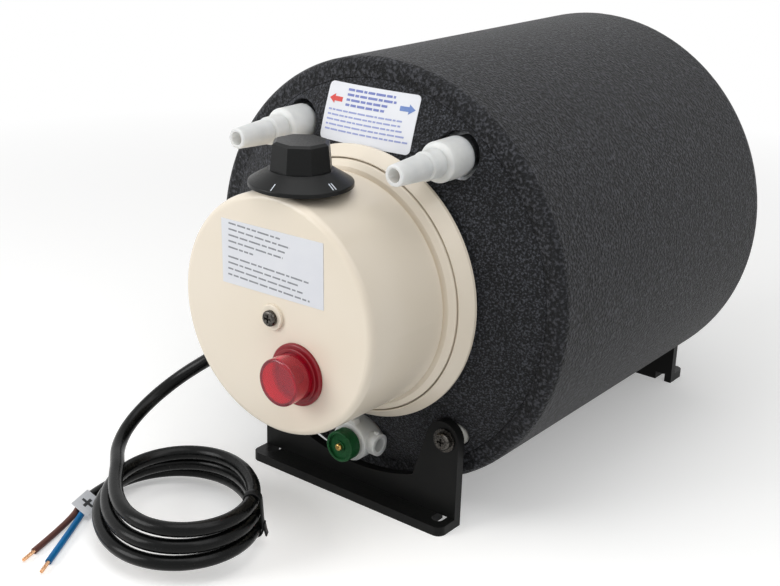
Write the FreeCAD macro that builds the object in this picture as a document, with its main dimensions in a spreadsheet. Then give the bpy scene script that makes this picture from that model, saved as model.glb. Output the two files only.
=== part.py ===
import FreeCAD, Part
import math
import os
import Sketcher
from FreeCAD import Placement, Rotation, Vector

# A small storage water heater: a horizontal steel tank in a foam jacket, on two stamped feet, with a
# moulded control cover, hose tails, a drain valve and a supply cord that lies coiled in front of it.
# X is to the right, Y to the back and Z up. The origin is on the floor, midway between the four slots
# of the feet. Lengths are in millimetres and angles in degrees.

os.makedirs("parts", exist_ok=True)
doc = FreeCAD.newDocument("water_heater")
sheet = doc.addObject("Spreadsheet::Sheet", "sizes")


class Size:
    """A number together with the formula that gives it from the cells of the sheet."""

    def __init__(self, value, formula):
        self.value = value
        self.formula = formula

    def __add__(self, other):
        other = as_size(other)
        return Size(self.value + other.value, "(%s + %s)" % (self.formula, other.formula))

    def __sub__(self, other):
        other = as_size(other)
        return Size(self.value - other.value, "(%s - %s)" % (self.formula, other.formula))

    def __mul__(self, other):
        other = as_size(other)
        return Size(self.value * other.value, "(%s * %s)" % (self.formula, other.formula))

    def __truediv__(self, other):
        other = as_size(other)
        return Size(self.value / other.value, "(%s / %s)" % (self.formula, other.formula))

    def __neg__(self):
        return Size(-self.value, "(0 - %s)" % self.formula)

    def __radd__(self, other):
        return as_size(other) + self

    def __rsub__(self, other):
        return as_size(other) - self

    def __rmul__(self, other):
        return as_size(other) * self


def as_size(number):
    """A plain number as a size, so that the two can be mixed in one formula."""
    if isinstance(number, Size):
        return number
    return Size(float(number), "(%r)" % float(number))


def root(number):
    """The square root of a size."""
    return Size(math.sqrt(number.value), "sqrt(%s)" % number.formula)


def sine(angle):
    """The sine of an angle in degrees."""
    return Size(math.sin(math.radians(angle.value)), "sin(%s * 1deg)" % angle.formula)


def cosine(angle):
    """The cosine of an angle in degrees."""
    return Size(math.cos(math.radians(angle.value)), "cos(%s * 1deg)" % angle.formula)


rows = 0


def size(name, value):
    """Writes one driving dimension into the sheet and gives it back as a size."""
    global rows
    rows += 1
    sheet.set("A%d" % rows, name)
    sheet.set("B%d" % rows, str(value))
    sheet.setAlias("B%d" % rows, name)
    return Size(float(value), "sizes." + name)


# Clearances and seams
seam_gap = size("seam_gap", 0.3)
weld_gap = size("weld_gap", 0.1)
shaft_clearance = size("shaft_clearance", 0.05)
hole_clearance = size("hole_clearance", 0.4)

# Foam jacket
foam_radius = size("foam_radius", 110)
foam_wall = size("foam_wall", 10)
foam_length = size("foam_length", 220)
foam_front_round = size("foam_front_round", 4)
foam_rear_round = size("foam_rear_round", 9)
dome_at_neck = size("dome_at_neck", 14.03)
front_foam_thickness = size("front_foam_thickness", 8)
rear_foam_thickness = size("rear_foam_thickness", 3.7)
neck_hole_clearance = size("neck_hole_clearance", 0.5)
pipe_hole_radius = size("pipe_hole_radius", 12)
drain_hole_radius = size("drain_hole_radius", 12)
boss_hole_radius = size("boss_hole_radius", 7.2)

# Feet
belly_clearance = size("belly_clearance", 0.64)
foot_thickness = size("foot_thickness", 5)
foot_depth = size("foot_depth", 17.1)
foot_end_margin = size("foot_end_margin", 8.3)
foot_corner_radius = size("foot_corner_radius", 4.5)
web_thickness = size("web_thickness", 5)
web_corner_inset = size("web_corner_inset", 18.9)
web_arc_inset = size("web_arc_inset", 8.7)
ear_radius = size("ear_radius", 9.5)
ear_margin = size("ear_margin", 11.5)
ear_angle = size("ear_angle", 38.93)
front_web_gap = size("front_web_gap", 8.5)
rear_web_gap = size("rear_web_gap", 2.5)
slot_outset = size("slot_outset", 0.7)
slot_width = size("slot_width", 6.2)
slot_depth = size("slot_depth", 11.8)

# Tank
tank_wall = size("tank_wall", 0.8)
tank_foam_gap = size("tank_foam_gap", 0.5)
rear_dome_radius = size("rear_dome_radius", 500)
neck_inset = size("neck_inset", 14)
neck_top = size("neck_top", 15)

# Element plate and what it carries
gasket_thickness = size("gasket_thickness", 1.5)
plate_inset = size("plate_inset", 4.5)
plate_thickness = size("plate_thickness", 4)
bolt_inset = size("bolt_inset", 6)
bolt_radius = size("bolt_radius", 2.5)
bolt_head_radius = size("bolt_head_radius", 4.2)
bolt_head_height = size("bolt_head_height", 3.5)
bolt_tip_gap = size("bolt_tip_gap", 2.8)
heater_half_span = size("heater_half_span", 14)
heater_tube_radius = size("heater_tube_radius", 4)
heater_drop = size("heater_drop", 16)
heater_length = size("heater_length", 150)
heater_collar_height = size("heater_collar_height", 5.5)
terminal_radius = size("terminal_radius", 2)
terminal_length = size("terminal_length", 12)
pocket_rise = size("pocket_rise", 16)
pocket_radius = size("pocket_radius", 5)
pocket_bore_radius = size("pocket_bore_radius", 3.8)
pocket_length = size("pocket_length", 110)
pocket_flange_radius = size("pocket_flange_radius", 8)
pocket_flange_height = size("pocket_flange_height", 2.5)
bulb_radius = size("bulb_radius", 3.4)
bulb_length = size("bulb_length", 60)
capillary_radius = size("capillary_radius", 0.8)
capillary_bend = size("capillary_bend", 8)

# Control cover, with heights above the plane of the jacket's front edge
cover_face = size("cover_face", 76.8)
cover_draft = size("cover_draft", 0.7)
cover_edge_round = size("cover_edge_round", 3.4)
cover_wall = size("cover_wall", 2.4)
cover_groove_top = size("cover_groove_top", 25.2)
cover_groove_width = size("cover_groove_width", 1.5)
cover_groove_depth = size("cover_groove_depth", 1.2)
cover_step_width = size("cover_step_width", 1.8)
cover_step_height = size("cover_step_height", 23.4)
cover_rim_width = size("cover_rim_width", 2.9)
cover_rim_height = size("cover_rim_height", 21.2)
cover_base = size("cover_base", 17)
ring_gap = size("ring_gap", 0.8)
ring_to_hub = size("ring_to_hub", 6.2)
ring_width = size("ring_width", 6.1)
ring_back = size("ring_back", 13)
ring_edge_height = size("ring_edge_height", 14.6)
ring_shoulder_width = size("ring_shoulder_width", 1.3)
ring_shoulder_height = size("ring_shoulder_height", 16.2)
ring_top = size("ring_top", 20.5)
pillar_radius = size("pillar_radius", 5)
boss_radius = size("boss_radius", 6.3)
boss_height = size("boss_height", 1.6)
cover_screw_radius = size("cover_screw_radius", 3.85)
cover_screw_height = size("cover_screw_height", 2.4)
cover_screw_shank = size("cover_screw_shank", 2)
cover_screw_length = size("cover_screw_length", 13)
screw_cross_width = size("screw_cross_width", 0.9)
screw_cross_length = size("screw_cross_length", 4.2)
screw_cross_depth = size("screw_cross_depth", 1.2)

# Lamp
lamp_x = size("lamp_x", 15.2)
lamp_drop = size("lamp_drop", 24.4)
lamp_flange_radius = size("lamp_flange_radius", 15.2)
lamp_flange_height = size("lamp_flange_height", 1.8)
lamp_ring_radius = size("lamp_ring_radius", 13.2)
lamp_ring_height = size("lamp_ring_height", 3)
lamp_lens_radius = size("lamp_lens_radius", 11.5)
lamp_lens_front = size("lamp_lens_front", 13.9)
lamp_lens_wall = size("lamp_lens_wall", 1.6)
lamp_lens_round = size("lamp_lens_round", 1.2)
lamp_barrel_radius = size("lamp_barrel_radius", 10.6)
lamp_barrel_length = size("lamp_barrel_length", 21.6)
lamp_nut_radius = size("lamp_nut_radius", 13)
lamp_nut_height = size("lamp_nut_height", 3)
lamp_bulb_radius = size("lamp_bulb_radius", 4)
lamp_bulb_length = size("lamp_bulb_length", 20)

# Temperature knob and thermostat
knob_to_face = size("knob_to_face", 18.8)
knob_gap = size("knob_gap", 0.7)
knob_rim_radius = size("knob_rim_radius", 24.4)
knob_rim_edge = size("knob_rim_edge", 1.8)
knob_cone_height = size("knob_cone_height", 5.6)
knob_neck_radius = size("knob_neck_radius", 15.2)
grip_top_width = size("grip_top_width", 12.6)
grip_foot_width = size("grip_foot_width", 14)
grip_height = size("grip_height", 13)
grip_bevel = size("grip_bevel", 1)
grip_turn = size("grip_turn", 37.6)
spindle_radius = size("spindle_radius", 3)
spindle_knob_depth = size("spindle_knob_depth", 12)
thermostat_half_width = size("thermostat_half_width", 14)
thermostat_depth = size("thermostat_depth", 20)
thermostat_to_wall = size("thermostat_to_wall", 23.7)
thermostat_tall = size("thermostat_tall", 18)
thermostat_bush_radius = size("thermostat_bush_radius", 4.6)
thermostat_bush_height = size("thermostat_bush_height", 1.6)
bracket_sheet = size("bracket_sheet", 1.5)
bracket_half_width = size("bracket_half_width", 10)
bracket_rise = size("bracket_rise", 30)
cutout_radius = size("cutout_radius", 8)
cutout_height = size("cutout_height", 11)
cutout_inset = size("cutout_inset", 23)
cutout_rise = size("cutout_rise", 12)
block_half_width = size("block_half_width", 14)
block_height = size("block_height", 13)
block_tall = size("block_tall", 11)
block_to_wall = size("block_to_wall", 13.7)
block_screw_x = size("block_screw_x", 7)
block_screw_radius = size("block_screw_radius", 2.2)
wire_radius = size("wire_radius", 1.2)
wire_height = size("wire_height", 8.8)

# Labels
label_thickness = size("label_thickness", 0.25)
label_glue = size("label_glue", 0.05)
rating_margin = size("rating_margin", 27.2)
rating_tall = size("rating_tall", 31.4)
rating_x = size("rating_x", 0.6)
rating_rise = size("rating_rise", 25.5)
rating_turn = size("rating_turn", 1.3)
sticker_width = size("sticker_width", 56.2)
sticker_tall = size("sticker_tall", 27.2)
sticker_x = size("sticker_x", 3.4)
sticker_margin = size("sticker_margin", 18.1)
sticker_corner = size("sticker_corner", 2.5)
sticker_tilt = size("sticker_tilt", 0.8)

# Hose tails and their stubs
pipe_margin = size("pipe_margin", 14.08)
pipe_angle = size("pipe_angle", 33.8)
stub_radius = size("stub_radius", 7)
stub_bore_radius = size("stub_bore_radius", 4.5)
stub_top = size("stub_top", 7)
stub_depth = size("stub_depth", 9)
stub_collar_radius = size("stub_collar_radius", 9)
stub_collar_top = size("stub_collar_top", 1.2)
seal_thickness = size("seal_thickness", 1.5)
seal_radius = size("seal_radius", 9.2)
hub_radius = size("hub_radius", 9.7)
hub_shoulder = size("hub_shoulder", 16.4)
hub_round = size("hub_round", 3.6)
hub_top = size("hub_top", 20.5)
tail_collar_radius = size("tail_collar_radius", 6.9)
tail_collar_top = size("tail_collar_top", 29)
tail_notch_radius = size("tail_notch_radius", 5.8)
tail_notch_top = size("tail_notch_top", 29.8)
tail_barb_radius = size("tail_barb_radius", 6.2)
tail_barb_height = size("tail_barb_height", 31.5)
tail_tip_radius = size("tail_tip_radius", 5)
tail_length = size("tail_length", 51)
tail_tip_round = size("tail_tip_round", 0.7)
tail_bore_radius = size("tail_bore_radius", 3.3)
inner_pipe_radius = size("inner_pipe_radius", 4)
inner_pipe_bore = size("inner_pipe_bore", 3.2)
inner_pipe_reach = size("inner_pipe_reach", 26)
inner_pipe_bend = size("inner_pipe_bend", 12)
dip_tube_gap = size("dip_tube_gap", 18.7)
stand_tube_gap = size("stand_tube_gap", 6.7)

# Drain valve
drain_margin = size("drain_margin", 13.96)
drain_body_radius = size("drain_body_radius", 10.5)
drain_body_top = size("drain_body_top", 20)
drain_gusset_top = size("drain_gusset_top", 11.9)
drain_gusset_half = size("drain_gusset_half", 8.7)
drain_gusset_flat = size("drain_gusset_flat", 2)
drain_gusset_back = size("drain_gusset_back", 14)
drain_gusset_front = size("drain_gusset_front", 19)
spigot_height = size("spigot_height", 12.4)
spigot_radius = size("spigot_radius", 5.9)
spigot_bore = size("spigot_bore", 3.8)
spigot_reach = size("spigot_reach", 14.6)
spigot_nib = size("spigot_nib", 1.1)
plug_radius = size("plug_radius", 4)
plug_seat = size("plug_seat", 9)
plug_port_radius = size("plug_port_radius", 2.2)
plug_way_radius = size("plug_way_radius", 2.6)
drain_passage_radius = size("drain_passage_radius", 3)
stem_radius = size("stem_radius", 2.2)
stem_top = size("stem_top", 26)
drain_knob_radius = size("drain_knob_radius", 8.4)
drain_knob_back = size("drain_knob_back", 20.6)
drain_knob_front = size("drain_knob_front", 28)
drain_knob_rim = size("drain_knob_rim", 1.6)
drain_knob_recess = size("drain_knob_recess", 1.2)
drain_knob_hub = size("drain_knob_hub", 3)
drain_screw_radius = size("drain_screw_radius", 1.9)
drain_screw_head = size("drain_screw_head", 1.7)

# Screws of the feet
tank_boss_radius = size("tank_boss_radius", 6)
tank_boss_top = size("tank_boss_top", 1)
spacer_radius = size("spacer_radius", 6.5)
washer_radius = size("washer_radius", 6.1)
washer_thickness = size("washer_thickness", 1)
foot_screw_head = size("foot_screw_head", 4.6)
foot_screw_height = size("foot_screw_height", 2.6)
foot_screw_shank = size("foot_screw_shank", 2.5)

# Cord and gland
cord_radius = size("cord_radius", 3.6)
gland_angle = size("gland_angle", 215)
gland_height = size("gland_height", 42.7)
gland_reach = size("gland_reach", 12.3)
gland_nut_radius = size("gland_nut_radius", 8)
gland_dome_radius = size("gland_dome_radius", 6.5)
gland_thread_radius = size("gland_thread_radius", 6)
gland_bore_radius = size("gland_bore_radius", 3.3)
core_radius = size("core_radius", 1.6)
copper_radius = size("copper_radius", 1)
tie_width = size("tie_width", 6)
tie_thickness = size("tie_thickness", 1.1)
tie_slack = size("tie_slack", 0.9)
tag_length = size("tag_length", 14)
tag_width = size("tag_width", 10.5)
tag_thickness = size("tag_thickness", 0.5)

# Places that several pieces share
axis_height = foot_thickness + belly_clearance + foam_radius
half_span = (foam_length + front_web_gap + rear_web_gap) / 2
front_y = front_web_gap - half_span
rear_y = half_span - rear_web_gap
foam_bore = foam_radius - foam_wall
tank_radius = foam_bore - tank_foam_gap
tank_bore = tank_radius - tank_wall
pipe_circle = foam_bore - pipe_margin
pipe_x = pipe_circle * sine(pipe_angle)
pipe_z = axis_height + pipe_circle * cosine(pipe_angle)
drain_z = axis_height - foam_bore + drain_margin
ear_circle = foam_bore - ear_margin
foot_screw_x = ear_circle * sine(ear_angle)
ear_height = axis_height - ear_circle * cosine(ear_angle)
foot_half_width = foot_screw_x + foot_end_margin
slot_x = foot_screw_x + slot_outset
web_corner_x = foot_screw_x - web_corner_inset
web_arc_radius = foam_radius - web_arc_inset
ring_radius = pipe_circle - hub_radius - ring_to_hub
ring_shoulder_radius = ring_radius - ring_shoulder_width
cover_rim_radius = ring_radius - ring_width
cover_step_radius = cover_rim_radius - cover_rim_width
cover_foot_radius = cover_step_radius - cover_step_width
cover_face_radius = cover_foot_radius - cover_draft
neck_radius = ring_radius - neck_inset
plate_radius = neck_radius - plate_inset
bolt_circle = plate_radius - bolt_inset
neck_bore_radius = bolt_circle - bolt_inset
plate_back = neck_top + gasket_thickness
plate_front = plate_back + plate_thickness
heater_z = axis_height - heater_drop
pocket_z = axis_height + pocket_rise
cover_inner_face = cover_face - cover_wall
rating_width = (cover_face_radius - rating_margin) * 2
thermostat_rise = cover_foot_radius - thermostat_to_wall
thermostat_foot = axis_height + thermostat_rise
thermostat_head = thermostat_foot + thermostat_tall
knob_height = cover_face - knob_to_face
thermostat_back = knob_height - thermostat_depth / 2
knob_base = axis_height + cover_foot_radius + knob_gap
gland_end = cover_foot_radius + gland_reach
cutout_x = plate_radius - cutout_inset
rear_dome_apex = foam_length - rear_foam_thickness - seam_gap
rear_dome_centre = rear_dome_apex - rear_dome_radius
seal_top = stub_collar_top + seal_thickness

# The front dome is the ball through the jacket's front edge and a height at the neck
dome_centre = (
    neck_radius * neck_radius + dome_at_neck * dome_at_neck - foam_bore * foam_bore
) / (dome_at_neck * 2)
dome_radius = root(dome_centre * dome_centre + foam_bore * foam_bore)
tank_dome_radius = dome_radius - front_foam_thickness - seam_gap


def dome_height(from_axis, ball_radius):
    """The height of a front dome, of a given radius, at a distance from the heater's axis."""
    return root(ball_radius * ball_radius - from_axis * from_axis) + dome_centre


bolt_depth = plate_back - dome_height(bolt_circle, tank_dome_radius) - bolt_tip_gap
tank_front_end = dome_height(tank_radius, dome_radius - front_foam_thickness) - seam_gap
rear_dome_rim = root(rear_dome_radius * rear_dome_radius - tank_radius * tank_radius) + rear_dome_centre


def front(height):
    """The Y coordinate of a plane that lies a height in front of the jacket's front edge."""
    return front_y - height


# Ways to lay a piece's own upward axis
TO_FRONT = Rotation(Vector(1, 0, 0), 90)
TO_BACK = Rotation(Vector(1, 0, 0), -90)
TO_RIGHT = Rotation(Vector(0, 1, 0), 90)
UPRIGHT = Rotation()

nodes = []


def keep(piece, label):
    """Marks an object as a finished sub-part under its own name."""
    piece.Label = label
    nodes.append(piece)
    return piece


def bind(piece, name, value):
    """Gives a property a size, bound to the sheet."""
    value = as_size(value)
    piece.setExpression(name, value.formula)


def place(piece, at, turn=UPRIGHT):
    """Puts a piece at a point, each coordinate bound to the sheet, and turns it."""
    start = [as_size(value) for value in at]
    piece.Placement = Placement(Vector(*[value.value for value in start]), turn)
    for name, value in zip("xyz", start):
        if value.formula != "(0.0)":
            piece.setExpression("Placement.Base." + name, value.formula)
    return piece


def cylinder(name, radius, height, at=(0, 0, 0), turn=UPRIGHT):
    """A round bar from a point, along its own upward axis."""
    piece = doc.addObject("Part::Cylinder", name)
    bind(piece, "Radius", radius)
    bind(piece, "Height", height)
    return place(piece, at, turn)


def box(name, length, width, height, at=(0, 0, 0), turn=UPRIGHT):
    """A block from its lowest corner."""
    piece = doc.addObject("Part::Box", name)
    bind(piece, "Length", length)
    bind(piece, "Width", width)
    bind(piece, "Height", height)
    return place(piece, at, turn)


def sphere(name, radius, at):
    """A whole ball round a point."""
    piece = doc.addObject("Part::Sphere", name)
    bind(piece, "Radius", radius)
    return place(piece, at)


def fuse(name, pieces):
    """Several pieces joined into one solid."""
    piece = doc.addObject("Part::MultiFuse", name)
    piece.Shapes = pieces
    piece.Refine = True
    return piece


def cut(name, base, tools):
    """A piece less the space of several others."""
    piece = doc.addObject("Part::Cut", name)
    piece.Base = base
    piece.Tool = tools[0] if len(tools) == 1 else fuse(name + "_tools", tools)
    piece.Refine = True
    return piece


def common(name, first, second):
    """The space that two pieces share."""
    piece = doc.addObject("Part::Common", name)
    piece.Base = first
    piece.Tool = second
    piece.Refine = True
    return piece


def group(name, pieces):
    """Several separate solids under one name."""
    piece = doc.addObject("Part::Compound", name)
    piece.Links = pieces
    return piece


def origin_plane(body, role):
    """One of a body's own origin planes."""
    for plane in body.Origin.OriginFeatures:
        if plane.Role == role:
            return plane
    raise ValueError(role)


def draw_outline(body, role, points, arcs=None):
    """
    A closed outline on one of the body's planes: straight lines between points, each coordinate
    bound to the sheet. Where arcs names a corner by its number, the line that leaves it is an arc
    of that radius, with its centre on the left of the way for a positive radius.
    """
    arcs = arcs or {}
    sketch = body.newObject("Sketcher::SketchObject", body.Name + "_outline")
    sketch.AttachmentSupport = [(origin_plane(body, role), "")]
    sketch.MapMode = "FlatFace"
    places = [(as_size(a), as_size(b)) for a, b in points]
    flat = [Vector(a.value, b.value, 0) for a, b in places]
    count = len(flat)
    ends = {}
    for corner in range(count):
        first = flat[corner]
        second = flat[(corner + 1) % count]
        if corner not in arcs:
            sketch.addGeometry(Part.LineSegment(first, second), False)
            ends[corner] = (1, 2)
            continue
        radius = arcs[corner].value
        chord = second - first
        across = Vector(-chord.y, chord.x, 0).normalize()
        rise = math.sqrt(radius * radius - (chord.Length / 2) ** 2)
        middle = (first + second) / 2 + across * math.copysign(rise, radius)
        circle = Part.Circle(middle, Vector(0, 0, 1), abs(radius))
        if radius > 0:
            arc = Part.ArcOfCircle(circle, circle.parameter(first), circle.parameter(second))
            ends[corner] = (1, 2)
        else:
            arc = Part.ArcOfCircle(circle, circle.parameter(second), circle.parameter(first))
            ends[corner] = (2, 1)
        sketch.addGeometry(arc, False)
    for corner in range(count):
        after = (corner + 1) % count
        sketch.addConstraint(
            Sketcher.Constraint("Coincident", corner, ends[corner][1], after, ends[after][0])
        )
    formulas = []
    for corner, (a, b) in enumerate(places):
        start = ends[corner][0]
        for kind, value, axis in (("DistanceX", a, -2), ("DistanceY", b, -1)):
            if abs(value.value) < 1e-9:
                sketch.addConstraint(Sketcher.Constraint("PointOnObject", corner, start, axis))
                continue
            index = sketch.addConstraint(
                Sketcher.Constraint(kind, -1, 1, corner, start, value.value)
            )
            formulas.append((index, "%s_%d" % (kind, corner), value.formula))
        if corner in arcs:
            index = sketch.addConstraint(
                Sketcher.Constraint("Radius", corner, abs(arcs[corner].value))
            )
            wide = arcs[corner] if arcs[corner].value > 0 else -arcs[corner]
            formulas.append((index, "arc_%d" % corner, wide.formula))
    for index, label, formula in formulas:
        sketch.renameConstraint(index, label)
        sketch.setExpression("Constraints." + label, formula)
    return sketch


def round_rings(body, base, rings):
    """Rounds circular edges of a turned solid, each found by its radius and its height."""
    for number, (ring_r, ring_h, radius) in enumerate(rings):
        doc.recompute()
        names = []
        for index, edge in enumerate(base.Shape.Edges, 1):
            if not isinstance(edge.Curve, Part.Circle):
                continue
            near_radius = abs(edge.Curve.Radius - as_size(ring_r).value) < 1e-4
            near_height = abs(edge.Curve.Center.z - as_size(ring_h).value) < 1e-4
            if near_radius and near_height:
                names.append("Edge%d" % index)
        fillet = body.newObject("PartDesign::Fillet", "%s_round_%d" % (body.Name, number))
        fillet.Base = (base, names)
        bind(fillet, "Radius", radius)
        base = fillet
    body.Tip = base
    return base


def lathe(name, outline, at=(0, 0, 0), turn=TO_FRONT, rings=()):
    """A turned solid: an outline of radius and height points, spun about the piece's own axis."""
    body = doc.addObject("PartDesign::Body", name)
    sketch = draw_outline(body, "XZ_Plane", outline)
    spun = body.newObject("PartDesign::Revolution", name + "_turned")
    spun.Profile = sketch
    spun.ReferenceAxis = (sketch, ["V_Axis"])
    spun.Angle = 360
    body.Tip = spun
    if rings:
        round_rings(body, spun, rings)
    return place(body, at, turn)


def ring(name, inner, outer, low, high, at, turn=TO_FRONT):
    """A plain turned ring or washer between two heights."""
    outline = [(inner, low), (outer, low), (outer, high), (inner, high)]
    return lathe(name, outline, at, turn)


def pad(body, sketch, length, name, backwards=False):
    """Raises an outline into a solid on the body."""
    raised = body.newObject("PartDesign::Pad", name)
    raised.Profile = sketch
    bind(raised, "Length", length)
    raised.Reversed = backwards
    body.Tip = raised
    return raised


def slab(name, points, thickness, at, turn=UPRIGHT, arcs=None):
    """A flat plate from an outline in its own XY plane."""
    body = doc.addObject("PartDesign::Body", name)
    sketch = draw_outline(body, "XY_Plane", points, arcs)
    pad(body, sketch, thickness, name + "_plate")
    return place(body, at, turn)


def cross_cut(name, at, turn, top):
    """The two crossed grooves that a screwdriver takes, down from the top of a head."""
    low = top - screw_cross_depth
    grooves = []
    for index, (long, wide) in enumerate(
        ((screw_cross_length, screw_cross_width), (screw_cross_width, screw_cross_length))
    ):
        points = [
            (-long / 2, -wide / 2),
            (long / 2, -wide / 2),
            (long / 2, wide / 2),
            (-long / 2, wide / 2),
        ]
        groove = slab("%s_groove_%d" % (name, index), points, screw_cross_depth * 2, at, turn)
        normal = turn.multVec(Vector(0, 0, 1))
        start = [as_size(value) for value in at]
        lifted = [value + low * round(part) for value, part in zip(start, normal)]
        place(groove, lifted, turn)
        grooves.append(groove)
    return grooves


def bent_route(points, radii):
    """Straight runs joined by tangent arcs, one arc at each inner point."""
    edges = []
    start = points[0]
    for index in range(1, len(points) - 1):
        before = (points[index - 1] - points[index]).normalize()
        after = (points[index + 1] - points[index]).normalize()
        half = (math.pi - before.getAngle(after)) / 2
        reach = radii[index - 1] * math.tan(half)
        enter = points[index] + before * reach
        leave = points[index] + after * reach
        bisector = (before + after).normalize()
        centre = points[index] + bisector * (radii[index - 1] / math.cos(half))
        middle = centre - bisector * radii[index - 1]
        edges.append(Part.LineSegment(start, enter).toShape())
        edges.append(Part.Arc(enter, middle, leave).toShape())
        start = leave
    edges.append(Part.LineSegment(start, points[-1]).toShape())
    return Part.Wire(edges)


def sweep_round(wire, radius):
    """A round solid of one radius along a wire, with flat ends square to it."""
    first = wire.OrderedEdges[0]
    start = first.valueAt(first.FirstParameter)
    along = first.tangentAt(first.FirstParameter)
    profile = Part.Wire([Part.makeCircle(radius, start, along)])
    return wire.makePipeShell([profile], True, False)


def tube(name, points, bend, radius, bore=None):
    """A bent tube through points, every bend of one radius, with a bore where it has one."""
    wire = bent_route(points, [bend] * (len(points) - 2))
    shape = sweep_round(wire, radius)
    if bore:
        shape = shape.cut(sweep_round(wire, bore))
    piece = doc.addObject("Part::Feature", name)
    piece.Shape = shape
    return piece


def point(x, y, z):
    """A point in space from sizes or numbers."""
    return Vector(as_size(x).value, as_size(y).value, as_size(z).value)


def make_foam():
    """The jacket: a wrap with rolled edges, a domed disc in front and a flat one behind."""
    wrap = lathe(
        "foam_wrap",
        [
            (foam_bore, -foam_length),
            (foam_radius, -foam_length),
            (foam_radius, 0),
            (foam_bore, 0),
        ],
        at=(0, front_y, axis_height),
        rings=[(foam_radius, 0, foam_front_round), (foam_radius, -foam_length, foam_rear_round)],
    )
    keep(wrap, "foam_wrap")

    disc_radius = foam_bore - seam_gap
    dome_at = (0, front(dome_centre), axis_height)
    blank = cylinder(
        "front_disc_blank",
        disc_radius,
        front_foam_thickness * 4,
        at=(0, front(-front_foam_thickness * 2), axis_height),
        turn=TO_FRONT,
    )
    domed = common("front_disc_domed", blank, sphere("front_disc_outside", dome_radius, dome_at))
    tools = [sphere("front_disc_inside", dome_radius - front_foam_thickness, dome_at)]
    deep = -front_foam_thickness * 2
    long = front_foam_thickness * 5
    tools.append(
        cylinder(
            "neck_hole",
            neck_radius + neck_hole_clearance,
            long,
            at=(0, front(deep), axis_height),
            turn=TO_FRONT,
        )
    )
    for side in (-1, 1):
        tools.append(
            cylinder(
                "pipe_hole",
                pipe_hole_radius,
                long,
                at=(pipe_x * side, front(deep), pipe_z),
                turn=TO_FRONT,
            )
        )
        tools.append(
            cylinder(
                "boss_hole",
                boss_hole_radius,
                long,
                at=(foot_screw_x * side, front(deep), ear_height),
                turn=TO_FRONT,
            )
        )
    tools.append(
        cylinder(
            "drain_hole",
            drain_hole_radius,
            long,
            at=(0, front(deep), drain_z),
            turn=TO_FRONT,
        )
    )
    keep(cut("front_foam_disc", domed, tools), "front_foam_disc")

    rear_blank = cylinder(
        "rear_disc_blank",
        disc_radius,
        rear_foam_thickness * 5,
        at=(0, front(-foam_length), axis_height),
        turn=TO_FRONT,
    )
    rear_tools = [
        sphere(
            "rear_disc_inside",
            rear_dome_radius + seam_gap,
            (0, front(-rear_dome_centre), axis_height),
        )
    ]
    for side in (-1, 1):
        rear_tools.append(
            cylinder(
                "rear_boss_hole",
                boss_hole_radius,
                rear_foam_thickness * 6,
                at=(foot_screw_x * side, front(-foam_length), ear_height),
                turn=TO_FRONT,
            )
        )
    keep(cut("rear_foam_disc", rear_blank, rear_tools), "rear_foam_disc")


def make_tank():
    """The steel tank: a tube, two pressed ends and the neck ring that carries the element plate."""
    shell = ring(
        "tank_shell",
        tank_bore,
        tank_radius,
        -rear_dome_rim,
        tank_front_end,
        at=(0, front_y, axis_height),
    )
    keep(shell, "tank_shell")

    dome_at = (0, front(dome_centre), axis_height)
    depth = tank_wall * 20
    blank = cylinder(
        "front_dome_blank",
        tank_bore - weld_gap,
        depth * 3,
        at=(0, front(-depth), axis_height),
        turn=TO_FRONT,
    )
    domed = common("front_dome_outside", blank, sphere("front_dome_ball", tank_dome_radius, dome_at))
    tools = [sphere("front_dome_hollow", tank_dome_radius - tank_wall, dome_at)]
    tools.append(
        cylinder(
            "front_dome_neck_hole",
            neck_bore_radius,
            depth * 3,
            at=(0, front(-depth), axis_height),
            turn=TO_FRONT,
        )
    )
    for x, z in ((-pipe_x, pipe_z), (pipe_x, pipe_z), (as_size(0), drain_z)):
        tools.append(
            cylinder(
                "front_dome_pipe_hole",
                stub_radius + weld_gap,
                depth * 3,
                at=(x, front(-depth), z),
                turn=TO_FRONT,
            )
        )
    keep(cut("tank_front_dome", domed, tools), "tank_front_dome")

    rear_at = (0, front(-rear_dome_centre), axis_height)
    rear_blank = cylinder(
        "rear_dome_blank",
        tank_radius,
        depth * 3,
        at=(0, front(-rear_dome_rim), axis_height),
        turn=TO_BACK,
    )
    rear_domed = common(
        "rear_dome_outside", rear_blank, sphere("rear_dome_ball", rear_dome_radius, rear_at)
    )
    hollow = sphere("rear_dome_hollow", rear_dome_radius - tank_wall, rear_at)
    keep(cut("tank_rear_dome", rear_domed, [hollow]), "tank_rear_dome")

    neck = ring(
        "neck_blank",
        neck_bore_radius,
        neck_radius,
        as_size(0),
        neck_top,
        at=(0, front_y, axis_height),
    )
    tools = [sphere("neck_seat", tank_dome_radius + weld_gap, dome_at)]
    tools += bolt_holes("neck_bolt_hole", bolt_radius + shaft_clearance, plate_back - bolt_depth * 2)
    keep(cut("tank_neck_ring", neck, tools), "tank_neck_ring")


def bolt_places():
    """The six places round the bolt circle, as X and Z."""
    places = []
    for step in range(6):
        turn = math.radians(60 * step)
        places.append((bolt_circle * math.cos(turn), axis_height + bolt_circle * math.sin(turn)))
    return places


def bolt_holes(name, radius, low):
    """Cutting bars for the six bolts, from a height to past the plate."""
    holes = []
    for x, z in bolt_places():
        holes.append(
            cylinder(name, radius, plate_front * 2 - low, at=(x, front(low), z), turn=TO_FRONT)
        )
    return holes


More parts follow.
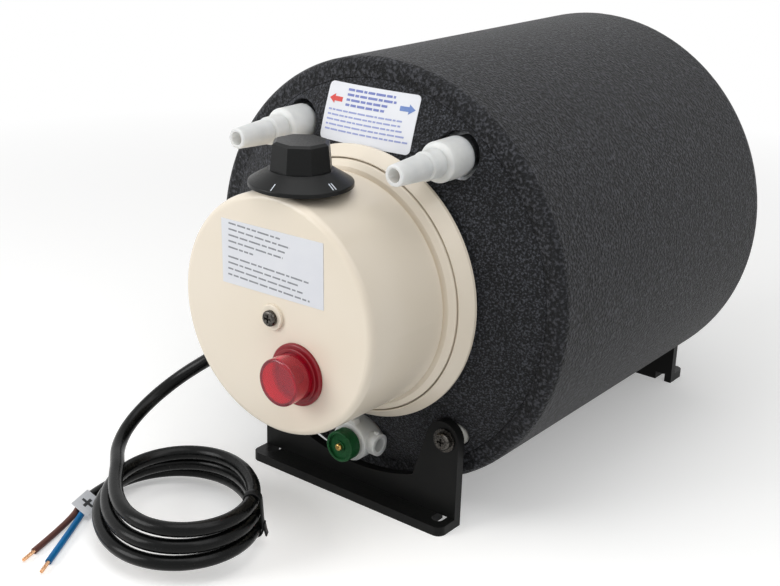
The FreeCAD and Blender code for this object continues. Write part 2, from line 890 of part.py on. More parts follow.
def make_element():
    """The bolted plate with its gasket, heating element and thermostat pocket."""
    at = (0, front_y, axis_height)
    gasket = ring("gasket_blank", neck_bore_radius, plate_radius, neck_top, plate_back, at)
    holes = bolt_holes("gasket_hole", bolt_radius + hole_clearance, neck_top - bolt_depth)
    keep(cut("element_gasket", gasket, holes), "element_gasket")

    plate = lathe(
        "plate_blank",
        [(0, plate_back), (plate_radius, plate_back), (plate_radius, plate_front), (0, plate_front)],
        at=at,
    )
    holes = bolt_holes("plate_hole", bolt_radius + hole_clearance, plate_back - bolt_depth)
    deep = front(plate_back - bolt_depth)
    for side in (-1, 1):
        holes.append(
            cylinder(
                "heater_hole",
                heater_tube_radius + weld_gap,
                bolt_depth * 3,
                at=(heater_half_span * side, deep, heater_z),
                turn=TO_FRONT,
            )
        )
    holes.append(
        cylinder(
            "pocket_hole",
            pocket_radius + weld_gap,
            bolt_depth * 3,
            at=(0, deep, pocket_z),
            turn=TO_FRONT,
        )
    )
    keep(cut("element_plate", plate, holes), "element_plate")

    bolts = []
    for x, z in bolt_places():
        shank = cylinder(
            "bolt_shank",
            bolt_radius,
            plate_front - plate_back + bolt_depth + gasket_thickness,
            at=(x, front(plate_back - bolt_depth - gasket_thickness), z),
            turn=TO_FRONT,
        )
        head = doc.addObject("Part::Prism", "bolt_head")
        head.Polygon = 6
        bind(head, "Circumradius", bolt_head_radius)
        bind(head, "Height", bolt_head_height)
        place(head, (x, front(plate_front), z), TO_FRONT)
        bolts.append(fuse("bolt", [shank, head]))
    keep(group("element_plate_bolts", bolts), "element_plate_bolts")

    leg_start = front(plate_front + heater_collar_height)
    leg_length = plate_front + heater_collar_height + heater_length
    legs = []
    for side in (-1, 1):
        legs.append(
            cylinder(
                "heater_leg",
                heater_tube_radius,
                leg_length,
                at=(heater_half_span * side, leg_start, heater_z),
                turn=TO_BACK,
            )
        )
    turn_back = doc.addObject("Part::Torus", "heater_bend")
    bind(turn_back, "Radius1", heater_half_span)
    bind(turn_back, "Radius2", heater_tube_radius)
    turn_back.Angle3 = 180
    place(turn_back, (0, front(-heater_length), heater_z))
    keep(fuse("heating_element", legs + [turn_back]), "heating_element")

    studs = []
    for side in (-1, 1):
        stud = lathe(
            "terminal",
            [
                (0, 0),
                (terminal_radius, 0),
                (terminal_radius, terminal_length / 4),
                (terminal_radius * 2, terminal_length / 4),
                (terminal_radius * 2, terminal_length / 2),
                (terminal_radius, terminal_length / 2),
                (terminal_radius, terminal_length),
                (0, terminal_length),
            ],
            at=(heater_half_span * side, leg_start, heater_z),
        )
        studs.append(stud)
    keep(group("element_terminals", studs), "element_terminals")

    pocket = lathe(
        "thermostat_pocket",
        [
            (0, -pocket_length),
            (pocket_radius, -pocket_length),
            (pocket_radius, plate_front),
            (pocket_flange_radius, plate_front),
            (pocket_flange_radius, plate_front + pocket_flange_height),
            (pocket_bore_radius, plate_front + pocket_flange_height),
            (pocket_bore_radius, pocket_radius - pocket_bore_radius - pocket_length),
            (0, pocket_radius - pocket_bore_radius - pocket_length),
        ],
        at=(0, front_y, pocket_z),
    )
    keep(pocket, "thermostat_pocket")


def make_thermostat():
    """The thermostat: bulb in its pocket, capillary, body on its bracket, and the spindle."""
    bulb_end = pocket_radius - pocket_bore_radius - pocket_length + hole_clearance
    bulb_top = bulb_end + bulb_length
    bulb = cylinder(
        "thermostat_bulb",
        bulb_radius,
        bulb_length,
        at=(0, front(bulb_end), pocket_z),
        turn=TO_FRONT,
    )
    keep(bulb, "thermostat_bulb")
    route = [
        point(0, front(bulb_top), pocket_z),
        point(0, front(knob_height - capillary_bend / 2), pocket_z),
        point(0, front(knob_height - capillary_bend / 2), thermostat_foot),
    ]
    capillary = tube("thermostat_capillary", route, capillary_bend.value, capillary_radius.value)
    keep(capillary, "thermostat_capillary")

    block = box(
        "thermostat_block",
        thermostat_half_width * 2,
        thermostat_depth,
        thermostat_tall,
        at=(-thermostat_half_width, front(knob_height + thermostat_depth / 2), thermostat_foot),
    )
    bush = cylinder(
        "thermostat_bush",
        thermostat_bush_radius,
        thermostat_bush_height,
        at=(0, front(knob_height), thermostat_head),
    )
    bore = cylinder(
        "thermostat_bore",
        spindle_radius + shaft_clearance,
        thermostat_tall,
        at=(0, front(knob_height), thermostat_head - thermostat_tall / 2),
    )
    blank = fuse("thermostat_blank", [block, bush])
    keep(cut("thermostat_body", blank, [bore]), "thermostat_body")

    shelf_z = axis_height + bracket_rise
    foot = box(
        "bracket_foot",
        bracket_half_width * 2,
        bracket_sheet,
        bracket_sheet * 4,
        at=(-bracket_half_width, front(plate_front + bracket_sheet), shelf_z - bracket_sheet * 3),
    )
    arm = box(
        "bracket_arm",
        bracket_half_width * 2,
        thermostat_back - plate_front,
        bracket_sheet,
        at=(-bracket_half_width, front(thermostat_back), shelf_z),
    )
    upright = box(
        "bracket_upright",
        bracket_half_width * 2,
        bracket_sheet,
        thermostat_rise - bracket_rise + thermostat_tall / 2,
        at=(-bracket_half_width, front(thermostat_back), shelf_z),
    )
    keep(fuse("thermostat_bracket", [foot, arm, upright]), "thermostat_bracket")

    spindle_foot = thermostat_head - thermostat_tall / 2 + hole_clearance
    spindle_top = knob_base + spindle_knob_depth
    spindle = cylinder(
        "thermostat_spindle",
        spindle_radius,
        spindle_top - spindle_foot,
        at=(0, front(knob_height), spindle_foot),
    )
    keep(spindle, "thermostat_spindle")


def make_control_gear():
    """The cut-out, the terminal block with its screws, and the wires behind the cover."""
    cutout = lathe(
        "safety_cutout",
        [
            (0, 0),
            (cutout_radius, 0),
            (cutout_radius, cutout_height / 2),
            (cutout_radius * 0.7, cutout_height / 2),
            (cutout_radius * 0.7, cutout_height),
            (0, cutout_height),
        ],
        at=(-cutout_x, front(plate_front), axis_height + cutout_rise),
    )
    keep(cutout, "safety_cutout")

    block_z = axis_height - cover_foot_radius + block_to_wall
    block = box(
        "block_blank",
        block_half_width * 2,
        block_height,
        block_tall,
        at=(-block_half_width, front(plate_front + block_height), block_z),
    )
    screws = []
    holes = []
    for side in (-1, 1):
        at = (block_screw_x * side, front(plate_front + block_height / 2), block_z + block_tall / 2)
        holes.append(
            cylinder(
                "block_hole",
                block_screw_radius + shaft_clearance,
                block_height,
                at=at,
                turn=TO_FRONT,
            )
        )
        screws.append(
            cylinder("block_screw", block_screw_radius, block_height / 2, at=at, turn=TO_FRONT)
        )
    keep(cut("terminal_block", block, holes), "terminal_block")
    keep(group("terminal_screws", screws), "terminal_screws")

    supply = []
    inner = cover_foot_radius - cover_wall * 3
    outward = Vector(math.cos(math.radians(gland_angle.value)), 0,
                     math.sin(math.radians(gland_angle.value)))
    middle_z = block_z + block_tall / 2
    for side in (-1, 1):
        start = point(0, front(gland_height), axis_height) + outward * inner.value
        start = start + Vector(0, wire_radius.value * 1.4 * side, 0)
        route = [
            start,
            start - outward * 12,
            point(-block_half_width * 1.5, front(plate_front + wire_height), middle_z)
            + Vector(0, wire_radius.value * 2 * side, 0),
            point(-block_half_width, front(plate_front + wire_height), middle_z)
            + Vector(0, wire_radius.value * 2 * side, 0),
        ]
        supply.append(tube("supply_wire", route, 3.5, wire_radius.value))
    keep(group("supply_wires", supply), "supply_wires")

    risers = []
    stud_end = plate_front + heater_collar_height + terminal_length
    for side in (-1, 1):
        end_x = (thermostat_half_width - wire_radius * 2) * side
        end_y = front(thermostat_back + wire_radius * 4)
        route = [
            point(heater_half_span * side, front(stud_end), heater_z),
            point(heater_half_span * side, front(stud_end + wire_radius * 5), heater_z),
            point(heater_half_span * side, front(stud_end + wire_radius * 5), pocket_z),
            point(end_x, end_y, thermostat_foot - wire_radius * 5),
            point(end_x, end_y, thermostat_foot),
        ]
        risers.append(tube("element_wire", route, 4.0, wire_radius.value))
    keep(group("element_wires", risers), "element_wires")


def make_cover():
    """The control cover, the ring it seats in, its pillar and its screw."""
    at = (0, front_y, axis_height)
    groove_low = cover_groove_top - cover_groove_width
    inner_radius = cover_foot_radius - cover_wall
    shell = lathe(
        "cover_shell",
        [
            (0, cover_inner_face),
            (0, cover_face + boss_height),
            (boss_radius, cover_face + boss_height),
            (boss_radius, cover_face),
            (cover_face_radius, cover_face),
            (cover_foot_radius, cover_groove_top),
            (cover_foot_radius - cover_groove_depth, cover_groove_top - cover_groove_width * 0.2),
            (cover_foot_radius - cover_groove_depth, groove_low),
            (cover_step_radius, cover_step_height),
            (cover_rim_radius, cover_rim_height),
            (cover_rim_radius, cover_base),
            (cover_rim_radius - cover_wall, cover_base),
            (cover_rim_radius - cover_wall, cover_rim_height - cover_wall * 0.6),
            (inner_radius, cover_step_height - cover_wall * 0.6),
            (cover_face_radius - cover_wall, cover_inner_face),
        ],
        at=at,
        rings=[
            (cover_face_radius, cover_face, cover_edge_round),
            (cover_rim_radius, cover_rim_height, cover_groove_width * 0.6),
            (boss_radius, cover_face + boss_height, boss_height * 0.3),
        ],
    )
    lamp_z = axis_height - lamp_drop
    through = cover_wall * 4
    tools = [
        cylinder(
            "cover_screw_hole",
            cover_screw_shank + hole_clearance,
            through,
            at=(0, front(cover_inner_face - cover_wall), axis_height),
            turn=TO_FRONT,
        ),
        cylinder(
            "cover_lamp_hole",
            lamp_barrel_radius + hole_clearance,
            through,
            at=(lamp_x, front(cover_inner_face - cover_wall), lamp_z),
            turn=TO_FRONT,
        ),
        cylinder(
            "cover_spindle_hole",
            spindle_radius + hole_clearance + shaft_clearance * 4,
            through,
            at=(0, front(knob_height), axis_height + inner_radius - cover_wall),
        ),
    ]
    gland_hole = cylinder(
        "cover_gland_hole",
        gland_thread_radius + hole_clearance,
        through * 2,
        at=(
            (inner_radius - cover_wall * 2) * cosine(gland_angle),
            front(gland_height),
            axis_height + (inner_radius - cover_wall * 2) * sine(gland_angle),
        ),
        turn=gland_turn,
    )
    tools.append(gland_hole)
    keep(cut("control_cover", shell, tools), "control_cover")

    seat_radius = cover_rim_radius + ring_gap
    base_ring = lathe(
        "cover_base_ring",
        [
            (plate_radius + ring_gap, neck_top),
            (seat_radius, neck_top),
            (seat_radius, ring_back),
            (ring_radius, ring_back),
            (ring_radius, ring_edge_height),
            (ring_shoulder_radius, ring_shoulder_height),
            (seat_radius + cover_wall * 0.2, ring_top),
            (seat_radius, ring_top),
            (seat_radius, cover_base),
            (plate_radius + ring_gap, cover_base),
        ],
        at=at,
    )
    keep(base_ring, "cover_base_ring")

    pillar = lathe(
        "cover_pillar",
        [
            (0, plate_front),
            (pillar_radius, plate_front),
            (pillar_radius, cover_inner_face),
            (cover_screw_shank + shaft_clearance, cover_inner_face),
            (
                cover_screw_shank + shaft_clearance,
                cover_face + boss_height - cover_screw_length - hole_clearance,
            ),
            (0, cover_face + boss_height - cover_screw_length - hole_clearance),
        ],
        at=at,
    )
    keep(pillar, "cover_pillar")

    head = cover_face + boss_height
    screw = lathe(
        "cover_screw_blank",
        [
            (0, head - cover_screw_length),
            (cover_screw_shank, head - cover_screw_length),
            (cover_screw_shank, head),
            (cover_screw_radius, head),
            (cover_screw_radius, head + cover_screw_height),
            (0, head + cover_screw_height),
        ],
        at=at,
        rings=[(cover_screw_radius, head + cover_screw_height, cover_screw_height * 0.5)],
    )
    grooves = cross_cut("cover_screw", at, TO_FRONT, head + cover_screw_height)
    keep(cut("cover_screw", screw, grooves), "cover_screw")


gland_turn = Rotation(
    Vector(0, 0, 1),
    Vector(math.cos(math.radians(gland_angle.value)), 0, math.sin(math.radians(gland_angle.value))),
)


def make_lamp():
    """The indicator lamp: bezel with its barrel, nut behind the cover, lens and bulb."""
    at = (lamp_x, front_y, axis_height - lamp_drop)
    seat = cover_face + lamp_ring_height - lamp_flange_height
    bulb_bore = lamp_bulb_radius + hole_clearance
    bezel = lathe(
        "lamp_bezel",
        [
            (bulb_bore, cover_face - lamp_barrel_length),
            (lamp_barrel_radius, cover_face - lamp_barrel_length),
            (lamp_barrel_radius, cover_face),
            (lamp_flange_radius, cover_face),
            (lamp_flange_radius, cover_face + lamp_flange_height),
            (lamp_ring_radius, cover_face + lamp_flange_height),
            (lamp_ring_radius, cover_face + lamp_ring_height),
            (lamp_lens_radius + shaft_clearance * 2, cover_face + lamp_ring_height),
            (lamp_lens_radius + shaft_clearance * 2, seat),
            (bulb_bore, seat),
        ],
        at=at,
        rings=[
            (lamp_flange_radius, cover_face + lamp_flange_height, lamp_flange_height * 0.5),
            (lamp_ring_radius, cover_face + lamp_ring_height, lamp_flange_height * 0.25),
        ],
    )
    keep(bezel, "lamp_bezel")
    nut = ring(
        "lamp_nut",
        lamp_barrel_radius + shaft_clearance,
        lamp_nut_radius,
        cover_inner_face - lamp_nut_height,
        cover_inner_face,
        at,
    )
    keep(nut, "lamp_nut")
    lens = lathe(
        "lamp_lens",
        [
            (lamp_lens_radius - lamp_lens_wall, seat),
            (lamp_lens_radius, seat),
            (lamp_lens_radius, cover_face + lamp_lens_front),
            (0, cover_face + lamp_lens_front),
            (0, cover_face + lamp_lens_front - lamp_lens_wall),
            (lamp_lens_radius - lamp_lens_wall, cover_face + lamp_lens_front - lamp_lens_wall),
        ],
        at=at,
        rings=[(lamp_lens_radius, cover_face + lamp_lens_front, lamp_lens_round)],
    )
    keep(lens, "lamp_lens")
    bulb_front = cover_face + lamp_lens_front - lamp_lens_wall * 3
    bulb = lathe(
        "lamp_bulb",
        [
            (0, bulb_front - lamp_bulb_length),
            (lamp_bulb_radius, bulb_front - lamp_bulb_length),
            (lamp_bulb_radius, bulb_front),
            (0, bulb_front),
        ],
        at=at,
        rings=[(lamp_bulb_radius, bulb_front, lamp_bulb_radius * 0.8)],
    )
    keep(bulb, "lamp_bulb")


def make_knob():
    """The temperature knob: a thin disc, a low cone and an eight-sided grip that narrows upwards."""
    at = (0, front(knob_height), knob_base)
    cone_top = knob_rim_edge + knob_cone_height
    disc = lathe(
        "knob_disc",
        [
            (0, 0),
            (knob_rim_radius, 0),
            (knob_rim_radius, knob_rim_edge),
            (knob_neck_radius, cone_top),
            (0, cone_top),
        ],
        at=at,
        turn=UPRIGHT,
        rings=[(knob_rim_radius, knob_rim_edge, knob_rim_edge * 0.4)],
    )
    grip = doc.addObject("PartDesign::Body", "knob_grip")
    sketches = []
    for level, flat_width, height in (
        (0, grip_foot_width, cone_top - knob_rim_edge),
        (1, grip_top_width, cone_top + grip_height - grip_bevel),
        (2, grip_top_width - grip_bevel * 1.6, cone_top + grip_height),
    ):
        circle = flat_width / math.cos(math.pi / 8)
        points = []
        for corner in range(8):
            turn = math.pi / 8 + corner * math.pi / 4
            points.append((circle * math.cos(turn), circle * math.sin(turn)))
        sketch = draw_outline(grip, "XY_Plane", points)
        sketch.setExpression("AttachmentOffset.Base.z", height.formula)
        sketches.append(sketch)
    for lower, upper in ((0, 1), (1, 2)):
        loft = grip.newObject("PartDesign::AdditiveLoft", "knob_grip_sides")
        loft.Profile = sketches[lower]
        loft.Sections = [sketches[upper]]
        loft.Ruled = True
        grip.Tip = loft
        doc.recompute()
    place(grip, at, Rotation(Vector(0, 0, 1), grip_turn.value - 90))
    grip.setExpression("Placement.Rotation.Angle", "(%s - 90) * 1deg" % grip_turn.formula)
    joined = fuse("knob_blank", [disc, grip])
    bore = cylinder(
        "knob_bore",
        spindle_radius + shaft_clearance,
        spindle_knob_depth + hole_clearance + knob_rim_edge,
        at=(0, front(knob_height), knob_base - knob_rim_edge),
    )
    keep(cut("control_knob", joined, [bore]), "control_knob")


def make_labels():
    """Two thin plain labels: one on the cover's face and one on the domed foam above it."""
    rating = box(
        "rating_label",
        rating_width,
        label_thickness,
        rating_tall,
        at=(
            -rating_x - rating_width / 2,
            front(cover_face + label_thickness),
            axis_height + rating_rise - rating_tall / 2,
        ),
        turn=Rotation(Vector(0, -1, 0), rating_turn.value),
    )
    keep(rating, "rating_label")

    half_w = sticker_width / 2
    half_t = sticker_tall / 2
    r = sticker_corner
    points = [
        (r - half_w, -half_t),
        (half_w - r, -half_t),
        (half_w, r - half_t),
        (half_w, half_t - r),
        (half_w - r, half_t),
        (r - half_w, half_t),
        (-half_w, half_t - r),
        (-half_w, r - half_t),
    ]
    arcs = {1: r, 3: r, 5: r, 7: r}
    patch = slab(
        "sticker_patch",
        points,
        front_foam_thickness * 3,
        at=(-sticker_x, front(-front_foam_thickness), axis_height + foam_bore - sticker_margin),
        turn=TO_FRONT * Rotation(Vector(0, 0, 1), sticker_tilt.value),
        arcs=arcs,
    )
    dome_at = (0, front(dome_centre), axis_height)
    outside = sphere("sticker_outside", dome_radius + label_glue + label_thickness, dome_at)
    inside = sphere("sticker_inside", dome_radius + label_glue, dome_at)
    skin = common("sticker_skin", patch, outside)
    keep(cut("connection_label", skin, [inside]), "connection_label")


def hose_tail(name, side):
    """One hose tail: a hub that screws on its stub, and a tapered tail with a barb."""
    at = (pipe_x * side, front_y, pipe_z)
    thread = stub_radius + shaft_clearance
    return keep(
        lathe(
            name,
            [
                (thread, seal_top),
                (hub_radius, seal_top),
                (hub_radius, hub_shoulder + hub_round),
                (tail_collar_radius, hub_top),
                (tail_collar_radius, tail_collar_top),
                (tail_notch_radius, tail_notch_top),
                (tail_barb_radius, tail_barb_height),
                (tail_tip_radius, tail_length),
                (tail_bore_radius, tail_length),
                (tail_bore_radius, stub_top + hole_clearance * 5),
                (thread, stub_top + hole_clearance * 5),
            ],
            at=at,
            rings=[
                (hub_radius, hub_shoulder + hub_round, hub_round * 0.6),
                (tail_tip_radius, tail_length, tail_tip_round),
            ],
        ),
        name,
    )


def make_water_side():
    """Stubs on the tank, their seals, the hose tails and the two pipes inside the tank."""
    places = ((-pipe_x, pipe_z), (pipe_x, pipe_z), (as_size(0), drain_z))
    dome_at = (0, front(dome_centre), axis_height)
    stubs = []
    seals = []
    for x, z in places:
        pipe = ring("stub_pipe", stub_bore_radius, stub_radius, -stub_depth, stub_top, (x, front_y, z))
        collar = ring(
            "stub_collar", stub_bore_radius, stub_collar_radius, -stub_depth, stub_collar_top,
            (x, front_y, z),
        )
        seat = sphere("stub_seat", tank_dome_radius + weld_gap, dome_at)
        stubs.append(fuse("stub", [pipe, cut("stub_collar_cut", collar, [seat])]))
        seals.append(
            ring(
                "stub_seal",
                stub_radius + weld_gap,
                seal_radius,
                stub_collar_top,
                seal_top,
                (x, front_y, z),
            )
        )
    keep(group("tank_pipe_stubs", stubs), "tank_pipe_stubs")
    keep(group("connector_seals", seals), "connector_seals")
    hose_tail("hot_outlet_connector", -1)
    hose_tail("cold_inlet_connector", 1)

    start = front(-stub_depth)
    bend = front(-inner_pipe_reach)
    for name, side, far in (
        ("hot_outlet_tube", -1, axis_height + tank_bore - stand_tube_gap),
        ("cold_inlet_tube", 1, axis_height - tank_bore + dip_tube_gap),
    ):
        far_x = pipe_x * side if side > 0 else -pipe_x / 4
        route = [
            point(pipe_x * side, start, pipe_z),
            point(pipe_x * side, bend, pipe_z),
            point(far_x, bend, far),
        ]
        inner = tube(name, route, inner_pipe_bend.value, inner_pipe_radius.value,
                     inner_pipe_bore.value)
        keep(inner, name)


def make_drain():
    """The drain valve: body with its side spigot, turning plug with its port, knob and screw."""
    at = (0, front_y, drain_z)
    thread = stub_radius + shaft_clearance
    plug_bore = plug_radius + shaft_clearance
    blind = stub_top + shaft_clearance * 4
    body = lathe(
        "drain_body_blank",
        [
            (thread, seal_top),
            (drain_body_radius, seal_top),
            (drain_body_radius, drain_body_top),
            (plug_bore, drain_body_top),
            (plug_bore, plug_seat - hole_clearance),
            (drain_passage_radius, plug_seat - hole_clearance),
            (drain_passage_radius, blind),
            (thread, blind),
        ],
        at=at,
        rings=[(drain_body_radius, drain_body_top, spigot_nib)],
    )
    gusset = slab(
        "drain_gusset",
        [
            (-drain_gusset_half, 0),
            (drain_gusset_half, 0),
            (drain_gusset_flat, drain_gusset_top),
            (-drain_gusset_flat, drain_gusset_top),
        ],
        drain_gusset_front - drain_gusset_back,
        at=(0, front(drain_gusset_back), drain_z),
        turn=TO_FRONT,
    )
    gusset_bore = cylinder(
        "drain_gusset_bore",
        drain_body_radius - spigot_nib * 2,
        drain_body_top,
        at=at,
        turn=TO_FRONT,
    )
    spigot = cylinder(
        "drain_spigot",
        spigot_radius,
        spigot_reach - drain_body_radius + spigot_nib * 2,
        at=(drain_body_radius - spigot_nib * 2, front(spigot_height), drain_z),
        turn=TO_RIGHT,
    )
    nib = box(
        "drain_spigot_nib",
        spigot_nib * 2,
        spigot_nib * 2,
        spigot_nib + spigot_radius / 2,
        at=(
            spigot_reach - spigot_nib * 3,
            front(spigot_height + spigot_nib),
            drain_z + spigot_radius / 2,
        ),
    )
    mouth = cylinder(
        "drain_spigot_bore",
        spigot_bore,
        spigot_reach,
        at=(plug_bore + spigot_nib, front(spigot_height), drain_z),
        turn=TO_RIGHT,
    )
    port = cylinder(
        "drain_side_port",
        plug_port_radius,
        spigot_reach,
        at=(plug_radius / 2, front(spigot_height), drain_z),
        turn=TO_RIGHT,
    )
    outer = fuse(
        "drain_outer",
        [
            body,
            cut("drain_gusset_cut", gusset, [gusset_bore]),
            spigot,
            nib,
        ],
    )
    keep(cut("drain_valve_body", outer, [mouth, port]), "drain_valve_body")

    stem = lathe(
        "drain_stem_blank",
        [
            (0, plug_seat),
            (plug_radius, plug_seat),
            (plug_radius, drain_body_top + shaft_clearance * 4),
            (stem_radius, drain_body_top + shaft_clearance * 4),
            (stem_radius, stem_top),
            (0, stem_top),
        ],
        at=at,
    )
    plug_way = cylinder(
        "plug_way",
        plug_way_radius,
        spigot_height - plug_seat + hole_clearance,
        at=(0, front(plug_seat - hole_clearance), drain_z),
        turn=TO_FRONT,
    )
    plug_port = cylinder(
        "plug_port",
        plug_port_radius,
        plug_radius * 2,
        at=(0, front(spigot_height), drain_z),
    )
    screw_hole = cylinder(
        "plug_screw_hole",
        drain_screw_radius / 2 + shaft_clearance,
        drain_knob_front - drain_body_top,
        at=(0, front(drain_body_top + hole_clearance), drain_z),
        turn=TO_FRONT,
    )
    keep(cut("drain_valve_stem", stem, [plug_way, plug_port, screw_hole]), "drain_valve_stem")

    web = drain_knob_front - drain_knob_recess
    knob = lathe(
        "drain_knob",
        [
            (stem_radius + shaft_clearance, drain_knob_back),
            (drain_knob_radius, drain_knob_back),
            (drain_knob_radius, drain_knob_front),
            (drain_knob_radius - drain_knob_rim, drain_knob_front),
            (drain_knob_radius - drain_knob_rim, web),
            (drain_knob_hub, web),
            (drain_knob_hub, drain_knob_front - drain_knob_recess / 2),
            (drain_screw_radius / 2 + hole_clearance, drain_knob_front - drain_knob_recess / 2),
            (drain_screw_radius / 2 + hole_clearance, stem_top),
            (stem_radius + shaft_clearance, stem_top),
        ],
        at=at,
        rings=[
            (drain_knob_radius, drain_knob_front, drain_knob_rim * 0.45),
            (drain_knob_radius, drain_knob_back, drain_knob_rim * 0.45),
        ],
    )
    keep(knob, "drain_knob")
    head = drain_knob_front - drain_knob_recess / 2
    screw = lathe(
        "drain_knob_screw",
        [
            (0, drain_body_top + hole_clearance * 2),
            (drain_screw_radius / 2, drain_body_top + hole_clearance * 2),
            (drain_screw_radius / 2, head),
            (drain_screw_radius, head),
            (drain_screw_radius, head + drain_screw_head),
            (0, head + drain_screw_head),
        ],
        at=at,
        rings=[(drain_screw_radius, head + drain_screw_head, drain_screw_head * 0.6)],
    )
    keep(screw, "drain_knob_screw")


def ear_tangent_point():
    """Where the sloping edge of the web meets the round of the ear, as X and Z."""
    corner_z = axis_height - root(web_arc_radius * web_arc_radius - web_corner_x * web_corner_x)
    centre_x = foot_half_width - ear_radius
    dx = centre_x - web_corner_x
    dz = ear_height - corner_z
    far = dx * dx + dz * dz
    along = root(far - ear_radius * ear_radius)
    x = web_corner_x + along / far * (dx * along - dz * ear_radius)
    z = corner_z + along / far * (dz * along + dx * ear_radius)
    return corner_z, x, z


def foot_bracket(name, turn):
    """One stamped foot: an upright web with two ears, and a flat foot with two slots, open behind."""
    corner_z, tangent_x, tangent_z = ear_tangent_point()
    body = doc.addObject("PartDesign::Body", name + "_body")
    points = [
        (-foot_half_width, 0),
        (foot_half_width, 0),
        (foot_half_width, ear_height),
        (tangent_x, tangent_z),
        (web_corner_x, corner_z),
        (-web_corner_x, corner_z),
        (-tangent_x, tangent_z),
        (-foot_half_width, ear_height),
    ]
    arcs = {2: ear_radius, 4: -web_arc_radius, 6: ear_radius}
    outline = draw_outline(body, "XZ_Plane", points, arcs)
    outline.setExpression("AttachmentOffset.Base.z", half_span.formula)
    pad(body, outline, web_thickness, name + "_web")
    foot_points = [
        (-foot_half_width, -half_span - foot_depth),
        (foot_half_width, -half_span - foot_depth),
        (foot_half_width, -half_span),
        (-foot_half_width, -half_span),
    ]
    foot = pad(body, draw_outline(body, "XY_Plane", foot_points), foot_thickness, name + "_foot")
    doc.recompute()
    corners = []
    for index, edge in enumerate(foot.Shape.Edges, 1):
        middle = edge.CenterOfMass
        upright = abs(edge.Length - foot_thickness.value) < 1e-4
        outer = abs(middle.y + half_span.value + foot_depth.value) < 1e-4
        if upright and outer:
            corners.append("Edge%d" % index)
    fillet = body.newObject("PartDesign::Fillet", name + "_corners")
    fillet.Base = (foot, corners)
    bind(fillet, "Radius", foot_corner_radius)
    body.Tip = fillet
    place(body, (0, 0, 0), turn)

    tools = []
    toward = -1 if turn.Angle < 1 else 1
    slot_r = slot_width / 2
    for side in (-1, 1):
        low = half_span - slot_r if toward > 0 else -half_span - slot_depth + slot_r
        tools.append(
            box(
                name + "_slot",
                slot_width,
                slot_depth,
                foot_thickness * 2,
                at=(slot_x * side - slot_r, low, -foot_thickness),
            )
        )
        tools.append(
            cylinder(
                name + "_slot_end",
                slot_r,
                foot_thickness * 2,
                at=(slot_x * side, (half_span + slot_depth - slot_r) * toward, -foot_thickness),
            )
        )
        tools.append(
            cylinder(
                name + "_screw_hole",
                foot_screw_shank + hole_clearance,
                web_thickness * 3,
                at=(foot_screw_x * side, (half_span - web_thickness) * toward, ear_height),
                turn=TO_BACK if toward > 0 else TO_FRONT,
            )
        )
    return keep(cut(name, body, tools), name)


def make_feet():
    """The two feet, and the bosses, spacers, washers and screws that hold them to the tank."""
    foot_bracket("front_bracket", UPRIGHT)
    foot_bracket("rear_bracket", Rotation(Vector(0, 0, 1), 180))

    bosses = []
    spacers = []
    washers = []
    screws = []
    front_dome_at = (0, front(dome_centre), axis_height)
    rear_dome_at = (0, front(-rear_dome_centre), axis_height)
    rear_boss_end = foam_length - shaft_clearance * 2
    for side in (-1, 1):
        x = foot_screw_x * side
        for end in ("front", "rear"):
            at = (x, front_y, ear_height)
            if end == "front":
                turn = TO_FRONT
                low = -stub_depth - web_thickness * 2
                boss_end = tank_boss_top
                web = front_web_gap
                ball = sphere("boss_seat", tank_dome_radius + weld_gap, front_dome_at)
                base = at
            else:
                turn = TO_BACK
                base = (x, rear_y, ear_height)
                low = -web_thickness * 4
                boss_end = -shaft_clearance * 2
                web = rear_web_gap
                ball = sphere("boss_seat", rear_dome_radius + weld_gap, rear_dome_at)
            bar = ring(
                "boss_blank", foot_screw_shank + shaft_clearance, tank_boss_radius, low, boss_end,
                base, turn,
            )
            bosses.append(cut("boss", bar, [ball]))
            spacers.append(
                ring(
                    "spacer",
                    foot_screw_shank + hole_clearance,
                    spacer_radius,
                    boss_end,
                    web,
                    base,
                    turn,
                )
            )
            face = web + web_thickness
            washers.append(
                ring(
                    "washer",
                    foot_screw_shank + hole_clearance,
                    washer_radius,
                    face,
                    face + washer_thickness,
                    base,
                    turn,
                )
            )
            head = face + washer_thickness
            shank_end = boss_end - foot_screw_shank
            blank = lathe(
                "foot_screw_blank",
                [
                    (0, shank_end),
                    (foot_screw_shank, shank_end),
                    (foot_screw_shank, head),
                    (foot_screw_head, head),
                    (foot_screw_head, head + foot_screw_height),
                    (0, head + foot_screw_height),
                ],
                at=base,
                turn=turn,
                rings=[(foot_screw_head, head + foot_screw_height, foot_screw_height * 0.5)],
            )
            grooves = cross_cut("foot_screw", base, turn, head + foot_screw_height)
            screws.append(cut("foot_screw", blank, grooves))
    keep(group("mount_bosses", bosses), "mount_bosses")
    keep(group("bracket_spacers", spacers), "bracket_spacers")
    keep(group("bracket_washers", washers), "bracket_washers")
    keep(group("bracket_screws", screws), "bracket_screws")


# Route of the cord in front of the heater, as chosen points before the turns of the coil
LEAD_POINTS = (
    (-79.3, -151.7, 59.9),
    (-91.7, -160.0, 49.0),
    (-98.1, -174.3, 38.8),
    (-96.7, -191.1, 31.2),
    (-87.6, -206.6, 27.0),
    (-73.7, -218.4, 27.3),
)
LEAD_FIRST_RUN = 11.0
LEAD_LAST_RUN = 8.0
ARC_SHARE = 0.455
COIL_START_TURN = 0.1
COIL_TURNS = 3.05
COIL_CENTRE = (-33.7, -210.9)
COIL_DRIFT = (-1.9, -0.62)
COIL_RADIUS = 36.8
COIL_GROWTH = 2.56
COIL_OVAL = 5.0
COIL_OVAL_ANGLE = 239
COIL_PITCH = 7.7
COIL_TILT = 2.0
COIL_TILT_ANGLE = 34
COIL_FLARE = 6.0
COIL_FLARE_START = 2.65
COIL_FLARE_SPAN = 0.4
TIE_ANGLE = 19
TIE_TAIL = 9.5
